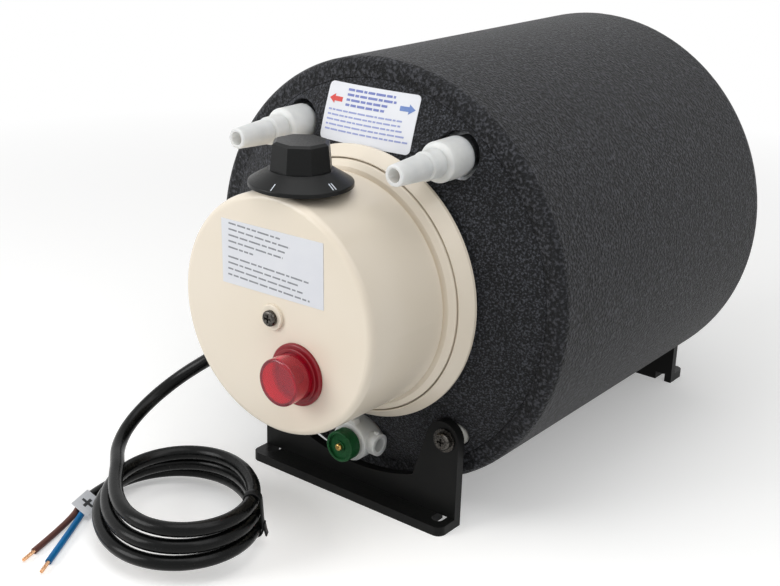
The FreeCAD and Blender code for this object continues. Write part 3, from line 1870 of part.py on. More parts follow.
CORE_STRAIGHT = 5.0
FLOOR_GAP = 0.3
TIE_SIDE = 1


def coil_point(turns):
    """
    A point of the coil's centre line. It winds to the left as seen from above, from the top down.
    Each turn is wider than the one above by the growth and lower by the pitch, the whole is slightly
    oval and tilted, and the last part flares outwards.
    """
    angle = 180 + 360 * turns
    step = min(max((turns - COIL_FLARE_START) / COIL_FLARE_SPAN, 0), 1)
    flare = COIL_FLARE * step * step * (3 - 2 * step)
    oval = COIL_OVAL * math.cos(2 * math.radians(angle - COIL_OVAL_ANGLE))
    reach = COIL_RADIUS + COIL_GROWTH * turns - oval + flare
    tilt = COIL_TILT * (1 + math.cos(math.radians(angle - COIL_TILT_ANGLE)))
    return Vector(
        COIL_CENTRE[0] + COIL_DRIFT[0] * turns + reach * math.cos(math.radians(angle)),
        COIL_CENTRE[1] + COIL_DRIFT[1] * turns + reach * math.sin(math.radians(angle)),
        cord_radius.value + COIL_PITCH * (COIL_TURNS - turns) + tilt,
    )


def coil_direction(turns):
    """The way the coil's centre line runs at a point."""
    small = 1e-4
    return (coil_point(turns + small) - coil_point(turns - small)).normalize()


def arc_from(start, along, end):
    """The arc that leaves a point in a direction and ends at another point."""
    chord = end - start
    across = along.cross(chord).cross(along)
    if across.Length < 1e-9:
        return Part.LineSegment(start, end).toShape(), 1e9
    across.normalize()
    radius = chord.Length ** 2 / (2 * chord.dot(across))
    centre = start + across * radius
    middle = (start + end) / 2 - centre
    middle = centre + middle.normalize() * radius
    return Part.Arc(start, middle, end).toShape(), radius


def biarc(start, along, end, final):
    """Two arcs that leave a point in one direction and reach another point in a second one."""
    chord = end - start
    both = along + final
    square = 2 * (1 - along.dot(final))
    lean = chord.dot(both)
    if square < 1e-9:
        reach = chord.Length ** 2 / (2 * lean)
    else:
        reach = (math.sqrt(lean * lean + square * chord.Length ** 2) - lean) / square
    joint = (start + along * reach + end - final * reach) / 2
    first, first_radius = arc_from(start, along, joint)
    turned, second_radius = arc_from(end, final * -1, joint)
    middle = turned.valueAt((turned.FirstParameter + turned.LastParameter) / 2)
    second = Part.Arc(joint, middle, end).toShape()
    return [first, second], (first_radius, second_radius)


def own_radii(route):
    """The largest arcs that the runs of a route allow, one for each inner point."""
    radii = []
    for index in range(1, len(route) - 1):
        before = route[index - 1] - route[index]
        after = route[index + 1] - route[index]
        half = (math.pi - before.getAngle(after)) / 2
        radii.append(ARC_SHARE * min(before.Length, after.Length) / math.tan(half))
    return radii


def make_cord():
    """The gland, the lead, the coil with its tie, and the two cores with their bare ends and tag."""
    at = (0, front(gland_height), axis_height)
    seat = cover_foot_radius + seam_gap / 2
    gland = lathe(
        "cable_gland",
        [
            (gland_bore_radius, seat - cover_wall * 3),
            (gland_thread_radius, seat - cover_wall * 3),
            (gland_thread_radius, seat),
            (gland_nut_radius, seat),
            (gland_nut_radius, seat + cover_wall * 2),
            (gland_dome_radius, gland_end),
            (gland_bore_radius, gland_end),
        ],
        at=at,
        turn=gland_turn,
    )
    keep(gland, "cable_gland")

    exit_along = gland_turn.multVec(Vector(0, 0, 1))
    gland_point = point(*at) + exit_along * gland_end.value
    coil_start = coil_point(COIL_START_TURN)
    coil_along = coil_direction(COIL_START_TURN)
    run = cord_radius.value * 2
    inner = [Vector(*p) for p in LEAD_POINTS]
    route = [gland_point, gland_point + exit_along * LEAD_FIRST_RUN] + inner
    route += [coil_start - coil_along * LEAD_LAST_RUN, coil_start]
    radii = own_radii(route)
    wire = bent_route(route, radii)
    lead_shape = sweep_round(wire, cord_radius.value)
    lead = doc.addObject("Part::Feature", "power_cord_lead")
    lead.Shape = lead_shape
    keep(lead, "power_cord_lead")
    print("lead radii", [round(value, 1) for value in radii], "length", round(wire.Length, 1))
    print("lead volume over section times length",
          round(lead_shape.Volume / (math.pi * cord_radius.value ** 2 * wire.Length), 4))

    start = coil_start
    along = coil_along
    straight = start + along * run
    edges = [Part.LineSegment(start, straight).toShape()]
    tightest = []
    steps = 12
    first_turn = COIL_START_TURN + 0.045
    last_turn = COIL_TURNS - 0.04
    start = straight
    for step in range(steps + 1):
        turns = first_turn + (last_turn - first_turn) * step / steps
        if step == 0:
            continue
        end = coil_point(turns)
        final = coil_direction(turns)
        pair, pair_radii = biarc(start, along, end, final)
        edges += pair
        tightest += list(pair_radii)
        start = end
        along = final
    sheath_end = start + along * run
    edges.append(Part.LineSegment(start, sheath_end).toShape())
    coil_wire = Part.Wire(edges)
    coil_shape = sweep_round(coil_wire, cord_radius.value)
    coil = doc.addObject("Part::Feature", "power_cord_coil")
    coil.Shape = coil_shape
    keep(coil, "power_cord_coil")
    print("coil arcs", round(min(tightest), 1), "to", round(max(tightest), 1),
          "length", round(coil_wire.Length, 1))
    print("coil volume over section times length",
          round(coil_shape.Volume / (math.pi * cord_radius.value ** 2 * coil_wire.Length), 4))
    samples = coil_wire.discretize(Distance=1.5)
    gap = min(
        (samples[i] - samples[j]).Length
        for i in range(len(samples))
        for j in range(i + 30, len(samples))
    )
    print("coil least gap to itself", round(gap - 2 * cord_radius.value, 2))
    print("coil lowest point", round(coil_shape.BoundBox.ZMin, 2), "sheath end", sheath_end)
    make_cores(sheath_end, along)
    make_tie()


def make_cores(sheath_end, along):
    """The two cores past the sheath, their bare copper, and the tag that lies over them."""
    side = Vector(-along.y, along.x, 0).normalize()
    offset = core_radius.value + FLOOR_GAP
    low = core_radius.value + FLOOR_GAP
    ends = []
    for name, sign, bend, bare in (
        ("cord_core_brown", 1, (-83.2, -241.2), (-73.7, -271.1)),
        ("cord_core_blue", -1, (-79.2, -241.4), (-61.1, -272.6)),
    ):
        start = sheath_end + side * offset * -sign
        middle = Vector(bend[0], bend[1], low)
        end = Vector(bare[0], bare[1], low)
        route = [start, start + along * CORE_STRAIGHT, middle, end]
        core_wire = bent_route(route, own_radii(route))
        core = doc.addObject("Part::Feature", name)
        core.Shape = sweep_round(core_wire, core_radius.value)
        keep(core, name)
        away = (end - middle).normalize()
        bar = Part.makeCylinder(copper_radius.value, 8.8, end, away)
        copper = doc.addObject("Part::Feature", "bare_end")
        copper.Shape = bar
        ends.append(copper)
        print(name, "radii", [round(value, 1) for value in own_radii(route)])
    keep(group("cord_core_ends", ends), "cord_core_ends")

    along_tag = Vector(0.286, -0.957, -0.05).normalize()
    across_tag = Vector(0.83, 0.25, -0.56).normalize()
    normal = along_tag.cross(across_tag).normalize()
    across_tag = normal.cross(along_tag)
    corner = sheath_end + Vector(-1.2, -1.2, 4.9)
    plate = Part.makePolygon(
        [
            corner,
            corner + along_tag * tag_length.value,
            corner + along_tag * tag_length.value + across_tag * tag_width.value,
            corner + across_tag * tag_width.value,
            corner,
        ]
    )
    up = normal if normal.z > 0 else normal * -1
    tag = doc.addObject("Part::Feature", "polarity_tag")
    tag.Shape = Part.Face(plate).extrude(up * tag_thickness.value)
    keep(tag, "polarity_tag")


def make_tie():
    """The tie: a flat strap round the stacked turns, with a short free tail below."""
    strands = []
    for turn in range(3):
        turns = (TIE_ANGLE + 180) / 360 + turn
        strands.append(coil_point(turns))
    top, bottom = strands[0], strands[-1]
    along = coil_direction((TIE_ANGLE + 180) / 360 + 1)
    along.z = 0
    along.normalize()
    across = Vector(along.y, -along.x, 0)
    lean = (bottom - top).normalize()
    lean = (lean - along * lean.dot(along)).normalize()
    side = lean.cross(along)
    inner = cord_radius.value + tie_slack.value
    outer = inner + tie_thickness.value
    faces = []
    for reach in (outer, inner):
        start = top - along * (tie_width.value / 2)
        end = start + (bottom - top) - along * (bottom - top).dot(along)
        loop = [
            Part.LineSegment(start + side * reach, end + side * reach).toShape(),
            Part.Arc(end + side * reach, end + lean * reach, end - side * reach).toShape(),
            Part.LineSegment(end - side * reach, start - side * reach).toShape(),
            Part.Arc(start - side * reach, start - lean * reach, start + side * reach).toShape(),
        ]
        faces.append(Part.Face(Part.Wire(loop)))
    strap = faces[0].extrude(along * tie_width.value)
    hollow = faces[1].extrude(along * tie_width.value)
    strap = strap.cut(hollow)
    flat = bottom - along * (tie_width.value / 2) + side * inner * TIE_SIDE
    reach = side * tie_thickness.value * TIE_SIDE
    corners = [flat, flat + reach, flat + reach + lean * TIE_TAIL, flat + lean * TIE_TAIL, flat]
    tail = Part.Face(Part.makePolygon(corners)).extrude(along * tie_width.value)
    strap = strap.fuse(tail).removeSplitter()
    tie = doc.addObject("Part::Feature", "cord_tie")
    tie.Shape = strap
    keep(tie, "cord_tie")


make_foam()
make_tank()
make_element()
make_thermostat()
make_control_gear()
make_cover()
make_lamp()
make_knob()
make_labels()
make_water_side()
make_drain()
make_feet()
make_cord()
doc.recompute()

failed = []
for item in doc.Objects:
    if "Invalid" in item.State or "Error" in item.State:
        failed.append("%s (%s)" % (item.Label, item.State))
for node in nodes:
    if node.Shape.isNull() or not node.Shape.isValid() or not node.Shape.Solids:
        failed.append(node.Label + " has no valid solid")
if failed:
    raise RuntimeError("; ".join(failed))
for node in nodes:
    node.Shape.exportStep("parts/%s.step" % node.Label)
print(len(nodes), "sub-parts written")
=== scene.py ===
import math

import bmesh
import bpy
import numpy as np
from mathutils import Matrix, Vector


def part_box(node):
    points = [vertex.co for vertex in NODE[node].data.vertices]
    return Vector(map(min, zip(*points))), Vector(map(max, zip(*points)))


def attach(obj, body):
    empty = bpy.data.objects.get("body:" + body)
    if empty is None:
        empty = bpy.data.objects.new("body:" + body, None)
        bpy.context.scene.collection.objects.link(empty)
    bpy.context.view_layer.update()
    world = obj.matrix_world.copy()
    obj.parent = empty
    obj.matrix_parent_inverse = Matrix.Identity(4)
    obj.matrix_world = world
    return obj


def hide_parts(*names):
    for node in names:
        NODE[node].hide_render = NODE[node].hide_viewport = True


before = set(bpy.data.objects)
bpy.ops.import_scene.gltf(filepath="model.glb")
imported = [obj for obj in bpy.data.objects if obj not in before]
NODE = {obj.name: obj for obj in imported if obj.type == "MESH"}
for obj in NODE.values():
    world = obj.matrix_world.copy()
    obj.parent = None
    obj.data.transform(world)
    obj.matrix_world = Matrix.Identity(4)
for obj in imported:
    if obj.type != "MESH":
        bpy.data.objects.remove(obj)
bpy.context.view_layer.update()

# A small storage water heater on a pale studio floor. The frame is that of the solids: X to the
# right, Y to the back and Z up, with the origin on the floor between the feet. Sizes and places are
# in millimetres and angles in degrees, unless the words beside them say otherwise.

MM = 0.001
BODY = "heater"
FRONT_Y = -107.0  # the front edge of the foam jacket
AXIS_Z = 115.64  # the height of the tank's axis

# Camera

CAMERA_PLACE = (0.38531, -0.59700, 0.33952)  # metres
CAMERA_AZIMUTH = 37.56
CAMERA_ELEVATION = 20.50
CAMERA_ROLL = 1.78
FOCAL_PIXELS = 1310.08
PHOTO_WIDTH_PIXELS = 780
SENSOR_WIDTH = 36


def aim_camera():
    """The camera stands where the photograph was taken: its place, turn, tilt and roll were solved."""
    camera = bpy.data.objects.new("camera", bpy.data.cameras.new("camera"))
    bpy.context.scene.collection.objects.link(camera)
    azimuth = math.radians(CAMERA_AZIMUTH)
    elevation = math.radians(CAMERA_ELEVATION)
    roll = math.radians(CAMERA_ROLL)
    level = math.cos(elevation)
    forward = Vector((-math.sin(azimuth) * level, math.cos(azimuth) * level, -math.sin(elevation)))
    right = forward.cross(Vector((0, 0, 1))).normalized()
    up = right.cross(forward)
    rolled_right = right * math.cos(roll) + up * math.sin(roll)
    rolled_up = up * math.cos(roll) - right * math.sin(roll)
    turn = Matrix((rolled_right, rolled_up, -forward)).transposed()
    camera.matrix_world = Matrix.Translation(CAMERA_PLACE) @ turn.to_4x4()
    camera.data.sensor_width = SENSOR_WIDTH
    camera.data.lens = FOCAL_PIXELS * SENSOR_WIDTH / PHOTO_WIDTH_PIXELS
    camera.data.clip_start = 0.01
    bpy.context.scene.camera = camera


# Nodes and colours

NOISE = "ShaderNodeTexNoise"
NOISE_RANGE = {"From Min": 0.3, "From Max": 0.7}  # nearly all of a noise's values lie in it
RAMP = "ShaderNodeValToRGB"
STRETCH = "ShaderNodeMapRange"
BUMP = "ShaderNodeBump"
MATH = "ShaderNodeMath"


def linear(code):
    """An sRGB hex colour as the linear colour that a shader takes."""
    channels = [int(code[i : i + 2], 16) / 255 for i in (0, 2, 4)]
    return [c / 12.92 if c <= 0.04045 else ((c + 0.055) / 1.055) ** 2.4 for c in channels] + [1.0]


def feed(tree, node, inputs):
    """Gives inputs of a node a value each, or a link from an output or a node's first output."""
    for name, source in inputs.items():
        if isinstance(source, bpy.types.Node):
            source = source.outputs[0]
        if isinstance(source, bpy.types.NodeSocket):
            tree.links.new(source, node.inputs[name])
        else:
            node.inputs[name].default_value = source


def add_node(tree, kind, inputs=None, stops=(), **settings):
    """
    Adds one node with its settings, its inputs and, for a colour ramp, its stops: each is a
    position and a hex code.
    """
    node = tree.nodes.new(kind)
    for name, value in settings.items():
        setattr(node, name, value)
    feed(tree, node, inputs or {})
    if stops:
        band = node.color_ramp.elements
        while len(band) < len(stops):
            band.new(0.5)
        for element, (position, code) in zip(band, stops):
            element.position = position
            element.color = linear(code)
    return node


class Finish:
    """A material that is built up node by node round one Principled shader."""

    def __init__(self, name):
        self.material = bpy.data.materials.new(name)
        self.material.use_nodes = True
        self.tree = self.material.node_tree
        self.shader = self.tree.nodes["Principled BSDF"]
        self.place = self.add("ShaderNodeTexCoord").outputs["Object"]

    def add(self, kind, inputs=None, stops=(), **settings):
        """Adds one node to the material."""
        return add_node(self.tree, kind, inputs, stops, **settings)

    def done(self, inputs):
        """Gives the shader its values and links, and hands over the material."""
        feed(self.tree, self.shader, inputs)
        return self.material


def per(size):
    """The scale of a noise whose patches are about a real size across, in millimetres."""
    return 1 / (size * MM)


# Light and floor

SURROUND = 0.29  # how strongly the white surround lights the object
LAMPS = (  # name, place, target and width in metres, power in watts
    ("top_box", (0.1, -0.25, 0.95), (0, -0.05, 0.1), 0.8, 3.8),
    ("left_box", (-0.6, -0.95, 0.5), (0, -0.1, 0.1), 0.6, 6.2),
    ("right_box", (0.75, -0.35, 0.8), (0, -0.05, 0.1), 0.6, 1.8),
)
FLOOR_REACH = 6.0  # metres from the middle to an edge
FLOOR_FADE = (0.25, 0.85)  # metres from the origin between which the floor turns to pure white
FLOOR_GLOW = 0.3  # added near the object, where a ray shows the background


def shows_background(tree):
    """One for rays from the camera, through clear pieces and off gloss, and nought for the light."""
    path = add_node(tree, "ShaderNodeLightPath").outputs
    rays = {0: path["Is Camera Ray"], 1: path["Is Transmission Ray"]}
    direct = add_node(tree, MATH, rays, operation="MAXIMUM")
    return add_node(tree, MATH, {0: direct, 1: path["Is Glossy Ray"]}, operation="MAXIMUM")


def light_scene():
    """A white studio: a bright even surround and soft boxes above, to the left and to the right."""
    world = bpy.data.worlds.new("studio")
    bpy.context.scene.world = world
    world.use_nodes = True
    tree = world.node_tree
    tree.nodes.clear()
    white = (1, 1, 1, 1)
    lit = add_node(tree, "ShaderNodeBackground", {"Color": white, "Strength": SURROUND})
    seen = add_node(tree, "ShaderNodeBackground", {"Color": white, "Strength": 1.0})
    mix = add_node(tree, "ShaderNodeMixShader", {0: shows_background(tree), 1: lit, 2: seen})
    add_node(tree, "ShaderNodeOutputWorld", {"Surface": mix})
    for name, place, target, width, power in LAMPS:
        light = bpy.data.lights.new(name, "AREA")
        light.shape = "SQUARE"
        light.size = width
        light.energy = power
        lamp = bpy.data.objects.new(name, light)
        bpy.context.scene.collection.objects.link(lamp)
        lamp.location = place
        lamp.rotation_euler = (Vector(target) - Vector(place)).to_track_quat("-Z", "Y").to_euler()


def lay_floor():
    """
    A floor of pale matt paper, far wider than the view. Rays that show the background see it turn
    to pure white away from the object, while its shadows and the light that it throws stay plain.
    """
    far = FLOOR_REACH
    mesh = bpy.data.meshes.new("floor")
    corners = [(-far, -far, 0), (far, -far, 0), (far, far, 0), (-far, far, 0)]
    mesh.from_pydata(corners, [], [(0, 1, 2, 3)])
    floor = bpy.data.objects.new("floor", mesh)
    bpy.context.scene.collection.objects.link(floor)
    paper = Finish("white_paper")
    reach = paper.add("ShaderNodeVectorMath", {0: paper.place}, operation="LENGTH").outputs["Value"]
    start, end = FLOOR_FADE
    fade = paper.add(STRETCH, {"Value": reach, "From Min": start, "From Max": end})
    glow = paper.add("ShaderNodeEmission", {"Strength": FLOOR_GLOW})
    near = paper.add("ShaderNodeAddShader", {0: paper.shader, 1: glow})
    white = paper.add("ShaderNodeEmission", {"Strength": 1.0})
    seen = paper.add("ShaderNodeMixShader", {0: fade, 1: near, 2: white})
    shown = shows_background(paper.tree)
    mix = paper.add("ShaderNodeMixShader", {0: shown, 1: paper.shader, 2: seen})
    feed(paper.tree, paper.tree.nodes["Material Output"], {"Surface": mix})
    mesh.materials.append(
        paper.done({"Base Color": linear("f4f4f3"), "Roughness": 0.9, "Specular IOR Level": 0.1})
    )


# Materials. A grain that is finer than the picture can show is drawn coarser, as its words say.


def crosslinked_foam(name, grain, pale):
    """
    Cross-linked polyethylene foam, cut from sheet: its closed cells give a black pebbled skin with
    small pale grains. The cells are about 0.5 mm, drawn at 1.0 to 1.4 mm so that they show.
    """
    foam = Finish(name)
    cells = foam.add(NOISE, {"Vector": foam.place, "Scale": per(grain), "Detail": 3.0})
    fleck = foam.add(STRETCH, {"Value": cells, "From Min": 0.36, "From Max": 0.66})
    shade = foam.add(RAMP, {"Fac": fleck}, ((0.0, "08090a"), (0.5, "1c1d20"), (1.0, pale)))
    waves = foam.add(NOISE, {"Vector": foam.place, "Scale": per(4.0), "Detail": 1.0})
    soft = foam.add(BUMP, {"Height": waves, "Distance": 0.4 * MM})
    relief = foam.add(BUMP, {"Height": cells, "Distance": 1.3 * MM, "Normal": soft})
    return foam.done(
        {
            "Base Color": shade,
            "Normal": relief,
            "Roughness": 0.54,
            "Specular IOR Level": 0.16,
            "Sheen Weight": 0.08,
            "Sheen Roughness": 0.4,
        }
    )


def moulded_abs(name, code, shade, roughness):
    """Injection-moulded ABS: an even colour, a satin gloss and a faint waviness from the tool."""
    abs_wall = Finish(name)
    drift = abs_wall.add(NOISE, {"Vector": abs_wall.place, "Scale": per(60), "Detail": 2.0})
    polish = abs_wall.add(NOISE, {"Vector": abs_wall.place, "Scale": per(30), "Detail": 1.0})
    waves = abs_wall.add(NOISE, {"Vector": abs_wall.place, "Scale": per(25), "Detail": 0.0})
    gloss = {"To Min": roughness - 0.02, "To Max": roughness + 0.03}
    return abs_wall.done(
        {
            "Base Color": abs_wall.add(RAMP, {"Fac": drift}, ((0.3, code), (0.7, shade))),
            "Roughness": abs_wall.add(STRETCH, {"Value": polish, **NOISE_RANGE, **gloss}),
            "Specular IOR Level": 0.34,
            "Normal": abs_wall.add(BUMP, {"Height": waves, "Distance": 0.02 * MM}),
        }
    )


def grained_plastic(name, dark, light, grain, depth, roughness):
    """
    Plastic from a spark-eroded mould: an even grain scatters the light to a soft matt sheen. The
    real grain is about 0.1 mm, drawn at 0.7 to 1.5 mm so that it shows.
    """
    plastic = Finish(name)
    pits = plastic.add(NOISE, {"Vector": plastic.place, "Scale": per(grain), "Detail": 2.0})
    gloss = {"To Min": roughness - 0.06, "To Max": roughness + 0.06}
    return plastic.done(
        {
            "Base Color": plastic.add(RAMP, {"Fac": pits}, ((0.3, dark), (0.75, light))),
            "Roughness": plastic.add(STRETCH, {"Value": pits, **NOISE_RANGE, **gloss}),
            "Specular IOR Level": 0.19,
            "Normal": plastic.add(BUMP, {"Height": pits, "Distance": depth * MM}),
        }
    )


def natural_nylon(name, code, shade):
    """Moulded, uncoloured nylon: milky, as light gets a little way in, with faint flow marks."""
    nylon = Finish(name)
    flow = nylon.add(NOISE, {"Vector": nylon.place, "Scale": per(7), "Detail": 3.0})
    waves = nylon.add(NOISE, {"Vector": nylon.place, "Scale": per(6), "Detail": 1.0})
    return nylon.done(
        {
            "Base Color": nylon.add(RAMP, {"Fac": flow}, ((0.3, code), (0.7, shade))),
            "Roughness": 0.4,
            "Subsurface Weight": 1.0,
            "Subsurface Radius": (1.0, 0.95, 0.9),
            "Subsurface Scale": 8 * MM,
            "Normal": nylon.add(BUMP, {"Height": waves, "Distance": 0.02 * MM}),
        }
    )


def red_polycarbonate():
    """
    Clear red polycarbonate from a polished mould: glossy and coloured through, so that the hollow
    cap shows its inside and its edges look darker.
    """
    lens = Finish("red_polycarbonate")
    streak = lens.add(NOISE, {"Vector": lens.place, "Scale": per(8), "Detail": 1.0})
    waves = lens.add(NOISE, {"Vector": lens.place, "Scale": per(5), "Detail": 1.0})
    return lens.done(
        {
            "Base Color": lens.add(RAMP, {"Fac": streak}, ((0.3, "e81446"), (0.7, "ee1c50"))),
            "Roughness": 0.06,
            "IOR": 1.5,
            "Transmission Weight": 0.86,
            "Specular IOR Level": 0.15,
            "Normal": lens.add(BUMP, {"Height": waves, "Distance": 0.01 * MM}),
        }
    )


def lamp_glass():
    """Blown glass of the bulb: clear and smooth, with a warm tint that hardly varies."""
    glass = Finish("lamp_glass")
    tint = glass.add(NOISE, {"Vector": glass.place, "Scale": per(4), "Detail": 1.0})
    return glass.done(
        {
            "Base Color": glass.add(RAMP, {"Fac": tint}, ((0.2, "fff0e0"), (0.8, "f4e4d4"))),
            "Roughness": 0.05,
            "IOR": 1.5,
            "Transmission Weight": 0.9,
        }
    )


def powder_coat():
    """
    Black powder coat, baked on pressed steel: an orange-peel surface with a soft sheen. The peel's
    bumps are about 1.6 mm apart.
    """
    coat = Finish("black_powder_coat")
    peel = coat.add(NOISE, {"Vector": coat.place, "Scale": per(1.6), "Detail": 2.0})
    drift = coat.add(NOISE, {"Vector": coat.place, "Scale": per(20), "Detail": 3.0})
    gloss = {"To Min": 0.34, "To Max": 0.46}
    return coat.done(
        {
            "Base Color": coat.add(RAMP, {"Fac": drift}, ((0.3, "0a0a0a"), (0.75, "111211"))),
            "Roughness": coat.add(STRETCH, {"Value": peel, **NOISE_RANGE, **gloss}),
            "Specular IOR Level": 0.15,
            "Normal": coat.add(BUMP, {"Height": peel, "Distance": 0.04 * MM}),
        }
    )


def metal(name, light, dark, grain, roughness, stretch=(1, 1, 1)):
    """
    Drawn, turned or plated metal: its colour drifts a little and fine marks break the gloss. Real
    marks are about 0.1 mm apart, drawn coarser so that they show.
    """
    plate = Finish(name)
    along = plate.add("ShaderNodeMapping", {"Vector": plate.place, "Scale": stretch})
    marks = plate.add(NOISE, {"Vector": along, "Scale": per(grain), "Detail": 3.0})
    gloss = {"To Min": roughness - 0.08, "To Max": roughness + 0.08}
    return plate.done(
        {
            "Base Color": plate.add(RAMP, {"Fac": marks}, ((0.3, dark), (0.7, light))),
            "Roughness": plate.add(STRETCH, {"Value": marks, **NOISE_RANGE, **gloss}),
            "Metallic": 1.0,
            "Normal": plate.add(BUMP, {"Height": marks, "Distance": 0.02 * MM}),
        }
    )


def soft_sheath(name, dark, light, roughness):
    """Extruded soft PVC or rubber: satin, with a faint unevenness that the extruder leaves."""
    sheath = Finish(name)
    run = sheath.add(NOISE, {"Vector": sheath.place, "Scale": per(3), "Detail": 2.0})
    drift = sheath.add(NOISE, {"Vector": sheath.place, "Scale": per(25), "Detail": 2.0})
    gloss = {"To Min": roughness - 0.05, "To Max": roughness + 0.07}
    return sheath.done(
        {
            "Base Color": sheath.add(RAMP, {"Fac": drift}, ((0.3, dark), (0.7, light))),
            "Roughness": sheath.add(STRETCH, {"Value": run, **NOISE_RANGE, **gloss}),
            "Specular IOR Level": 0.16,
            "Normal": sheath.add(BUMP, {"Height": run, "Distance": 0.03 * MM}),
        }
    )


def label_film(name, code, shade):
    """Printed polyester film: smooth and pale, and slightly uneven where it is stuck down."""
    film = Finish(name)
    drift = film.add(NOISE, {"Vector": film.place, "Scale": per(12), "Detail": 2.0})
    waves = film.add(NOISE, {"Vector": film.place, "Scale": per(7), "Detail": 1.0})
    return film.done(
        {
            "Base Color": film.add(RAMP, {"Fac": drift}, ((0.3, code), (0.7, shade))),
            "Roughness": 0.42,
            "Normal": film.add(BUMP, {"Height": waves, "Distance": 0.02 * MM}),
        }
    )


def ink(name, code, shade):
    """Screen-printed ink: a thin dry layer, a little more matt than its film and not quite even."""
    layer = Finish(name)
    cover = layer.add(NOISE, {"Vector": layer.place, "Scale": per(1.5), "Detail": 2.0})
    grain = layer.add(NOISE, {"Vector": layer.place, "Scale": per(0.8), "Detail": 1.0})
    return layer.done(
        {
            "Base Color": layer.add(RAMP, {"Fac": cover}, ((0.3, code), (0.7, shade))),
            "Roughness": 0.55,
            "Normal": layer.add(BUMP, {"Height": grain, "Distance": 0.01 * MM}),
        }
    )


def paint_nodes(material, *names):
    """Gives a material to solids of the frame."""
    for name in names:
        slots = NODE[name].data.materials
        slots.clear()
        slots.append(material)


# Meshes. A shape is its points, an array in millimetres, and its faces, as arrays of point
# numbers: each array holds faces with the same count of corners.


def build(name, shape, material, body=BODY, replaces=(), smooth=False):
    """Makes a closed mesh of a shape and lets it ride on a body."""
    points, blocks = shape
    faces = [face for block in blocks for face in block.tolist()]
    mesh = bpy.data.meshes.new(name)
    mesh.from_pydata((points.reshape(-1, 3) * MM).tolist(), [], faces)
    shell = bmesh.new()
    shell.from_mesh(mesh)
    bmesh.ops.recalc_face_normals(shell, faces=shell.faces[:])
    shell.to_mesh(mesh)
    shell.free()
    mesh.polygons.foreach_set("use_smooth", [smooth] * len(mesh.polygons))
    mesh.materials.append(material)
    mesh.update()
    piece = bpy.data.objects.new(name, mesh)
    bpy.context.scene.collection.objects.link(piece)
    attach(piece, body)
    if replaces:
        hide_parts(*replaces)
    return piece


def skin(runs, rows, around):
    """
    Faces over runs of closed rings: a run has its rows of rings, one after another, and each ring
    goes once round. Quads join a ring to the next one, and one face closes each end of a run.
    """
    run, row, step = np.meshgrid(
        np.arange(runs), np.arange(rows - 1), np.arange(around), indexing="ij"
    )
    first = (run * rows + row) * around
    after = (step + 1) % around
    quads = np.stack(
        [first + step, first + after, first + around + after, first + around + step], axis=-1
    )
    ends = np.concatenate([np.arange(runs) * rows, np.arange(runs) * rows + rows - 1])
    caps = ends[:, None] * around + np.arange(around)
    return [quads.reshape(-1, 4), caps]


def join(*shapes):
    """Several shapes as one: their points one after another, and their faces numbered on."""
    points, blocks, count = [], [], 0
    for some, these in shapes:
        points.append(some.reshape(-1, 3))
        blocks += [block + count for block in these]
        count += len(points[-1])
    return np.vstack(points), blocks


def rods(lines, along, radius, sides):
    """Round rods: a circle, square to one direction, is carried along each line of points."""
    along = along / np.linalg.norm(along)
    side = np.cross(along, (0, 0, 1))
    side /= np.linalg.norm(side)
    over = np.cross(side, along)
    angle = np.linspace(0, 2 * math.pi, sides, endpoint=False)
    circle = np.cos(angle)[:, None] * side + np.sin(angle)[:, None] * over
    points = lines[:, :, None, :] + circle * radius[:, None, None]
    return points, skin(lines.shape[0], lines.shape[1], sides)


def points_of(mesh):
    """The points of a mesh, in metres, one row each."""
    points = np.empty(len(mesh.vertices) * 3)
    mesh.vertices.foreach_get("co", points)
    return points.reshape(-1, 3)


def low_and_middle(name):
    """The lowest corner of a solid's box and the middle of the box, in millimetres."""
    low, high = (np.array(corner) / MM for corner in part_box(name))
    return low, (low + high) / 2


# Print and marks

INK_EDGE = np.array([0.0, 0.0, 1.0, 1.0])  # a mark's four long edges: on the sheet, or on the ink
BAR_ROWS = 7  # rings along a bar, so that it follows a curved sheet
ROW_FILL = (0.82, 1.0)  # how much of its width a row of dashes fills
DASH_LENGTH = (0.7, 2.6)  # shortest and longest dash, in pitches
DASH_GAP = 0.34  # in pitches

# A block of rows: left, right, top of its first row, step, rows, pitch and height of the dashes, seed.
RATING_BLOCKS = (
    (-27.2, 11.5, 13.2, 2.9, 4, 2.8, 0.8, 11),
    (-27.2, -9.0, 1.5, 2.9, 1, 2.4, 0.8, 12),
    (-27.2, 24.0, -3.2, 2.9, 4, 2.8, 0.8, 13),
)
RATING_TURN = -1.3
RATING_INK = 0.05

HEADING_BLOCK = (-15.0, 15.5, 11.6, 2.35, 4, 2.2, 1.1, 21)
LINES_BLOCK = (-25.5, 26.5, 1.2, 2.3, 5, 2.0, 0.8, 22)
CONNECTION_INK = 0.07
CONNECTION_TURN = 1.0
DOME_MIDDLE_Y = 128.6  # the middle of the ball that the foam's domed front is part of
HOT_ARROW = (-26.3, -17.6, 5.9)  # tip, tail and height on the label
COLD_ARROW = (26.6, 17.9, 6.6)
ARROW_ROWS = 5  # rings along the shaft, and along the head
ARROW_HEAD = 3.6
HEAD_HALF = 2.3
SHAFT_HALF = 1.1
TIP_HALF = 0.02

SKIRT_OUTER = 24.4  # the knob's skirt is a cone between two radii and two heights
SKIRT_INNER = 15.2
SKIRT_LOW = 1.8
SKIRT_HIGH = 7.4
KNOB_INK = 0.08
KNOB_MARKS = (  # turn, inner end, outer end, half width
    (-82.7, 20.2, 23.8, 0.22),
    (-6.5, 20.0, 23.4, 0.28),
    (-10.5, 20.0, 23.4, 0.28),
)


